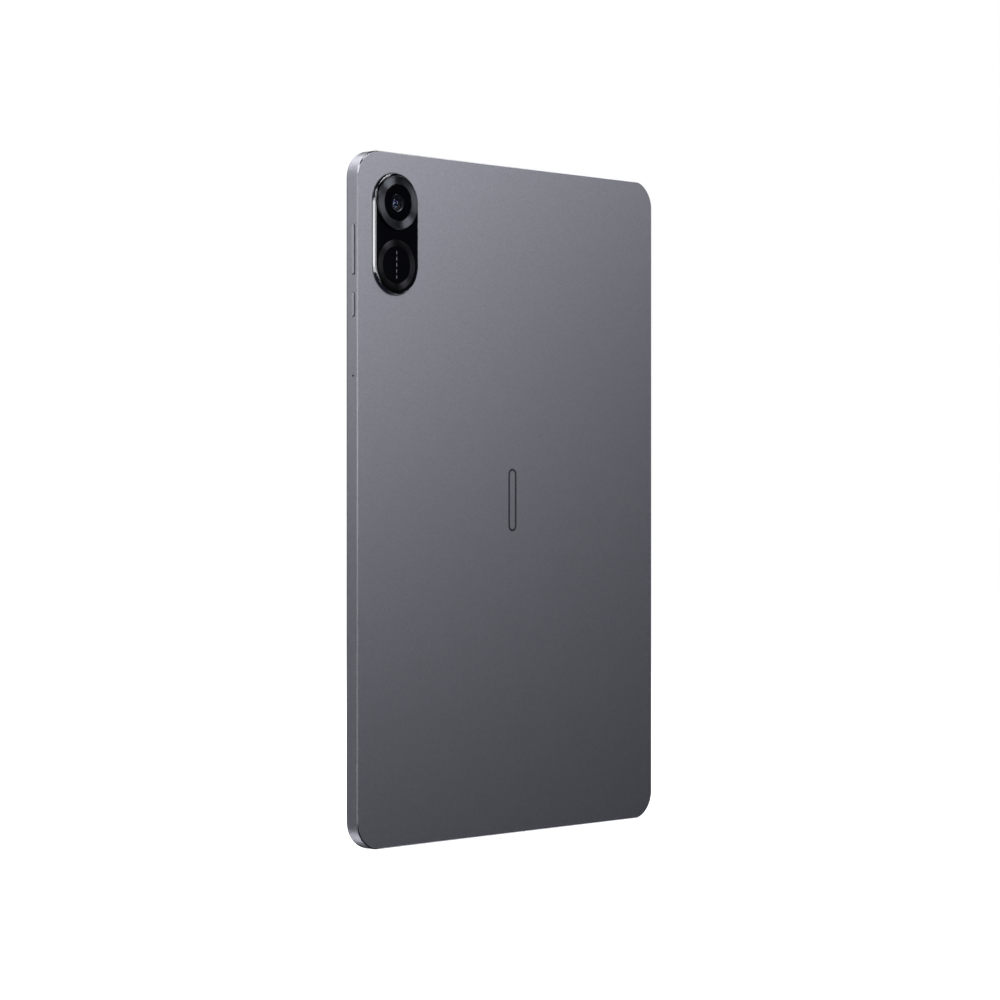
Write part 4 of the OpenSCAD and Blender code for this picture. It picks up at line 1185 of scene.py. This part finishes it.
@dataclass
class FocusLens:
    """The focus group: a stepped barrel, its domed lenses and the coil round it."""

    barrel: NodeBox = field(default_factory=lambda: NodeBox.of("lens_barrel"))
    coil: NodeBox = field(default_factory=lambda: NodeBox.of("focus_coil"))
    bore: float = 2.4 * MM
    window: float = 1.6 * MM
    lip: float = 0.25 * MM
    steps: int = 4
    step_inset: float = 0.35 * MM
    step_fall: float = 0.16 * MM
    lens_pitch: float = 0.6 * MM
    lens_thickness: float = 0.35 * MM
    lens_bulge: float = 0.1 * MM
    front_lens: float = 1.8 * MM
    front_bulge: float = 0.45 * MM
    turns: int = 10

    def centre(self) -> np.ndarray:
        """The optical axis in the back's plane."""
        return np.array([self.barrel.centre[0], 0, self.barrel.centre[2]])

    def build_barrel(self) -> None:
        """Builds the barrel with a stepped cone down to the front window."""
        radius = self.barrel.size[0] / 2
        low, top = self.barrel.low[1], self.barrel.high[1]
        bore, window = radius - self.bore, radius - self.window
        lip, steps = top - self.lip, self.steps
        width = (window - self.step_inset) / steps
        drop = self.step_fall / steps
        stairs = []
        for n in range(steps):
            stairs.append((self.step_inset + n * width, top - n * drop, 0.01 * MM))
            stairs.append((self.step_inset + n * width, top - (n + 1) * drop, 0.01 * MM))
        profile = filleted(
            [(0, low, 0.05 * MM), (0, top, 0.08 * MM)] + stairs
            + [(window, top - steps * drop, 0.01 * MM), (window, lip, 0.01 * MM), (bore, lip, 0.02 * MM),
               (bore, low, 0.05 * MM)], 2, closed=True)
        shape = Shape.swept(Outline.circle(radius, 24), profile, Facing.BACK, self.centre(), closed=True)
        install(shape.piece("focus_barrel"), "focus_group", "barrel_plastic", "lens_barrel")

    def lens(self, low: float, high: float, bulge: float) -> Shape:
        """One lens, whose front falls away from the axis as the square of the distance from it.

        Args:
            low: Where its flat rear face is.
            high: Where its front is at the axis.
            bulge: How much lower the front is at the rim.

        Returns:
            The lens as one closed shape.
        """
        radius = self.bore - 0.02 * MM
        share = np.linspace(0, 0.97, 12)
        front = np.stack([radius * share, high - bulge * (1 - share) ** 2], axis=1)
        profile = np.concatenate([[[radius * 0.5, low], [0, low]], front])
        return Shape.swept(Outline.circle(radius, 16), profile, Facing.BACK, self.centre())

    def build_lenses(self) -> None:
        """Builds four lenses, the front one the most domed."""
        box = NodeBox.of("lens_elements")
        lows = [box.low[1] + n * self.lens_pitch for n in range(3)]
        lenses = [self.lens(low, low + self.lens_thickness, self.lens_bulge) for low in lows]
        lenses.append(self.lens(box.low[1] + self.front_lens, box.high[1], self.front_bulge))
        install(Shape.joined(lenses).piece("focus_lenses"), "focus_group", "coated_lens", "lens_elements")

    def build_coil(self) -> None:
        """Builds the coil as a stack of rounded turns."""
        radius = self.coil.size[0] / 2
        turns = self.turns
        pitch = self.coil.size[1] / turns
        depth = radius - self.barrel.size[0] / 2
        angle = np.linspace(math.pi, 0, 7)
        bumps = [np.stack([pitch / 2 * (1 - np.sin(angle)),
                           self.coil.low[1] + pitch * (n + 0.5) + pitch / 2 * np.cos(angle)], axis=1)
                 for n in range(turns)]
        profile = np.concatenate(bumps + [[[depth, self.coil.high[1]], [depth, self.coil.low[1]]]])
        shape = Shape.swept(Outline.circle(radius, 16), profile, Facing.BACK, self.centre(), closed=True)
        install(shape.piece("focus_winding"), "focus_group", "copper_wire", "focus_coil")

    def build(self) -> None:
        """Builds the whole group."""
        self.build_barrel()
        self.build_lenses()
        self.build_coil()


@dataclass
class Display:
    """The cover glass with its rounded edge, and the front camera behind it."""

    glass: NodeBox = field(default_factory=lambda: NodeBox.of("cover_glass"))
    corner_radius: float = 10 * MM
    edge: float = 0.45 * MM
    dome_rise: float = 0.3 * MM

    def build(self) -> None:
        """Builds the glass and the small domed lens of the front camera."""
        width, _, height = self.glass.size
        front, back = self.glass.low[1], self.glass.high[1]
        profile = filleted([
            (3 * MM, back, 0), (0, back, 0.06 * MM), (0, front, self.edge), (3 * MM, front, 0)], 8)
        centre = np.array([self.glass.centre[0], 0, self.glass.centre[2]])
        outline = Outline.rounded(width, height, self.corner_radius, 32)
        pane = Shape.swept(outline, profile, Facing.BACK, centre)
        install(pane.piece("cover_glass_pane"), "housing", "cover_glass", "cover_glass")
        lens = NodeBox.of("front_camera_lens")
        radius = lens.size[0] / 2
        share = np.linspace(0, 0.96, 10)
        dome = np.stack([radius * share, lens.low[1] + self.dome_rise * (1 - share) ** 2], axis=1)
        section = np.concatenate([[[radius * 0.5, lens.high[1]], [0, lens.high[1]]], dome[1:]])
        spot = np.array([lens.centre[0], 0, lens.centre[2]])
        bead = Shape.swept(Outline.circle(radius, 16), section, Facing.BACK, spot)
        install(bead.piece("front_camera_dome"), "housing", "coated_lens", "front_camera_lens")


@dataclass
class UsbSocket:
    """The USB-C socket: a rolled steel shell and the tongue with its contacts."""

    wall: float = 0.3 * MM
    end_wall: float = 0.8 * MM
    blade: float = 0.7 * MM
    contacts: int = 12
    contact_pitch: float = 0.5 * MM
    contact_width: float = 0.25 * MM
    contact_length: float = 3.7 * MM
    contact_setback: float = 0.3 * MM
    shell: NodeBox = field(default_factory=lambda: NodeBox.of("usb_shell"))
    tongue: NodeBox = field(default_factory=lambda: NodeBox.of("usb_tongue"))

    def build_shell(self) -> None:
        """Builds the shell as a tube with a rolled lip, closed at its inner end."""
        width, thickness, _ = self.shell.size
        mouth, end = -self.shell.low[2], -self.shell.high[2]
        radius = thickness / 2
        profile = filleted([
            (radius * 0.9, end, 0), (0, end, 0.2 * MM), (0, mouth, 0.1 * MM),
            (self.wall, mouth, 0.15 * MM), (self.wall, end + self.end_wall, 0.1 * MM),
            (radius * 0.9, end + self.end_wall, 0)], 4)
        centre = np.array([self.shell.centre[0], self.shell.centre[1], 0])
        outline = Outline.rounded(width, thickness, radius, 16)
        shape = Shape.swept(outline, profile, Facing.DOWN, centre)
        install(shape.piece("usb_socket_shell"), "housing", "socket_steel", "usb_shell")

    def build_tongue(self) -> None:
        """Builds the tongue with a rounded nose, and a row of gold contacts on both sides."""
        width, _, _ = self.tongue.size
        mouth, end = -self.tongue.low[2], -self.tongue.high[2]
        centre = np.array([self.tongue.centre[0], self.tongue.centre[1], 0])
        profile = filleted([(0.2 * MM, end, 0), (0, end, 0), (0, mouth, 0.15 * MM), (0.25 * MM, mouth, 0)], 4)
        blade = Shape.swept(Outline.rounded(width, self.blade, 0.12 * MM, 4), profile, Facing.DOWN, centre)
        piece = blade.piece("usb_tongue_blade")
        install(piece, "housing", "tongue_plastic", "usb_tongue")
        strips = []
        start = mouth - self.contact_setback
        outline = Outline.rounded(self.contact_width, self.tongue.size[1], 0.03 * MM, 2)
        for spot in np.arange(self.contacts) - (self.contacts - 1) / 2:
            place = centre + np.array([spot * self.contact_pitch, 0, 0])
            section = np.array([[0, start - self.contact_length], [0, start]])
            strips.append(Shape.swept(outline, section, Facing.DOWN, place))
        gold = Shape.joined(strips).piece("usb_contacts")
        gold.data.materials.append(FINISHES["contact_gold"].material())
        install(gold, "housing", "tongue_plastic")

    def build(self) -> None:
        """Builds the shell, the tongue and the contacts."""
        self.build_shell()
        self.build_tongue()


# ---------------------------------------------------------------------------------------------
# Studio
# ---------------------------------------------------------------------------------------------


@dataclass(frozen=True)
class Softbox:
    """One square studio light, aimed at the tablet from a direction round it.

    An azimuth of 0 is in front of the glass, 90 on the key side and 180 behind the back cover.
    """

    name: str
    azimuth: float
    elevation: float
    power: float
    tint: Triple = (1.0, 1.0, 1.0)
    size: float = 0.36
    distance: float = 0.95

    def build(self, target: Vector) -> None:
        """Adds the light, aimed at the target."""
        turn, rise = math.radians(self.azimuth), math.radians(self.elevation)
        away = Vector((math.sin(turn) * math.cos(rise), -math.cos(turn) * math.cos(rise), math.sin(rise)))
        data = bpy.data.lights.new(self.name, "AREA")
        data.shape = "SQUARE"
        data.size = self.size
        data.energy = self.power
        data.color = self.tint
        light = bpy.data.objects.new(self.name, data)
        light.visible_camera = False
        light.location = target + away * self.distance
        light.rotation_mode = "QUATERNION"
        light.rotation_quaternion = (-away).to_track_quat("-Z", "Y")
        bpy.context.scene.collection.objects.link(light)


@dataclass
class Studio:
    """Camera, pale floor, soft lights and a white surround."""

    yaw: float = math.radians(45.085)
    distance: float = 1122.4 * MM
    shift: float = 4.98 * MM
    lens: float = 100.8
    sensor: float = 36.0
    nearest: float = 0.05
    farthest: float = 50.0
    floor_half: float = 8.0
    floor_grey: float = 0.9
    fill: tuple[float, float, float, float] = (0.014, 0.016, 0.027, 1.0)
    softboxes: tuple[Softbox, ...] = (
        Softbox("back_key", 206, 35, 2.4, size=0.3),
        Softbox("back_soft", 200, 10, 1.1, size=0.26),
        Softbox("back_side", 245, 30, 0.4, size=0.3),
        Softbox("front_key", 0, 40, 2.3),
        Softbox("front_low", 20, -45, 1.2),
        Softbox("front_fill", 340, 12, 0.3, size=0.3),
        Softbox("wall_key", 70, 45, 4.6, size=0.4),
        Softbox("wall_low", 80, -20, 0.7),
        Softbox("wall_strip", 48, 12, 0.55, size=0.3),
        Softbox("edge_high", 130, 35, 0.6),
        Softbox("edge_glow", 120, 10, 0.3),
        Softbox("rim_bar", 108, -2, 0.9, size=0.5),
        Softbox("edge_low", 140, -10, 0.1),
        Softbox("edge_corner", 175, 62, 0.7),
        Softbox("edge_top", 270, 45, 0.7),
        Softbox("edge_foot", 270, -45, 0.6),
    )

    def build_camera(self) -> None:
        """Adds the camera, level with the tablet's middle and turned by the yaw from the back face."""
        cover = NodeBox.of("rear_cover")
        middle = Vector((cover.centre[0], cover.high[1], cover.centre[2]))
        forward = Vector((-math.sin(self.yaw), -math.cos(self.yaw), 0))
        right = Vector((-math.cos(self.yaw), math.sin(self.yaw), 0))
        data = bpy.data.cameras.new("camera")
        data.lens = self.lens
        data.sensor_width = self.sensor
        data.clip_start = self.nearest
        data.clip_end = self.farthest
        camera = bpy.data.objects.new("camera", data)
        camera.location = middle - right * self.shift - forward * self.distance
        camera.rotation_mode = "QUATERNION"
        camera.rotation_quaternion = forward.to_track_quat("-Z", "Y")
        bpy.context.scene.collection.objects.link(camera)
        bpy.context.scene.camera = camera

    def build_floor(self) -> None:
        """Adds the pale floor that the tablet stands on."""
        half, grey = self.floor_half, self.floor_grey
        mesh = bpy.data.meshes.new("floor")
        mesh.from_pydata([(-half, -half, 0), (half, -half, 0), (half, half, 0), (-half, half, 0)], [],
                         [(0, 1, 2, 3)])
        floor = bpy.data.objects.new("floor", mesh)
        bpy.context.scene.collection.objects.link(floor)
        material = bpy.data.materials.new("floor_white")
        material.use_nodes = True
        shader = material.node_tree.nodes["Principled BSDF"]
        shader.inputs["Base Color"].default_value = (grey, grey, grey, 1)
        shader.inputs["Roughness"].default_value = 0.9
        shader.inputs["Emission Color"].default_value = (1, 1, 1, 1)
        shader.inputs["Emission Strength"].default_value = 1.0
        mesh.materials.append(material)
        floor.visible_glossy = False
        floor.visible_diffuse = False
        floor.visible_transmission = False
        floor.visible_shadow = False

    def build_world(self) -> None:
        """Makes the surround white to look at, and a dim even fill as a light."""
        world = bpy.data.worlds.new("surround")
        bpy.context.scene.world = world
        world.use_nodes = True
        w = Wiring(world.node_tree)
        backdrop = world.node_tree.nodes["Background"]
        mix = w.add("ShaderNodeMix", data_type="RGBA")
        w.feed(mix, "Factor", w.add("ShaderNodeLightPath").outputs["Is Camera Ray"])
        w.feed(mix, 6, self.fill)
        w.feed(mix, 7, (1.0, 1.0, 1.0, 1.0))
        w.feed(backdrop, "Color", mix.outputs[2])

    def build(self) -> None:
        """Builds the whole studio."""
        bpy.context.scene.view_settings.view_transform = "Standard"
        self.build_camera()
        self.build_floor()
        self.build_world()
        target = Vector(tuple(NodeBox.of("rear_cover").centre))
        for box in self.softboxes:
            box.build(target)


def main() -> None:
    """Builds the tablet piece by piece, then the studio round it."""
    logging.basicConfig(level=logging.INFO, format="%(message)s")
    dress_nodes()
    RearCover().build()
    EmblemInlay().build()
    SideKey("volume_rocker", "rocker", (-6.5 * MM, 6.5 * MM), fulcrum_radius=0.45 * MM).build()
    SideKey("power_button", "power_key", (0.0,)).build()
    CameraIsland().build()
    FocusLens().build()
    Display().build()
    UsbSocket().build()
    Studio().build()


if __name__ == "__main__":
    main()
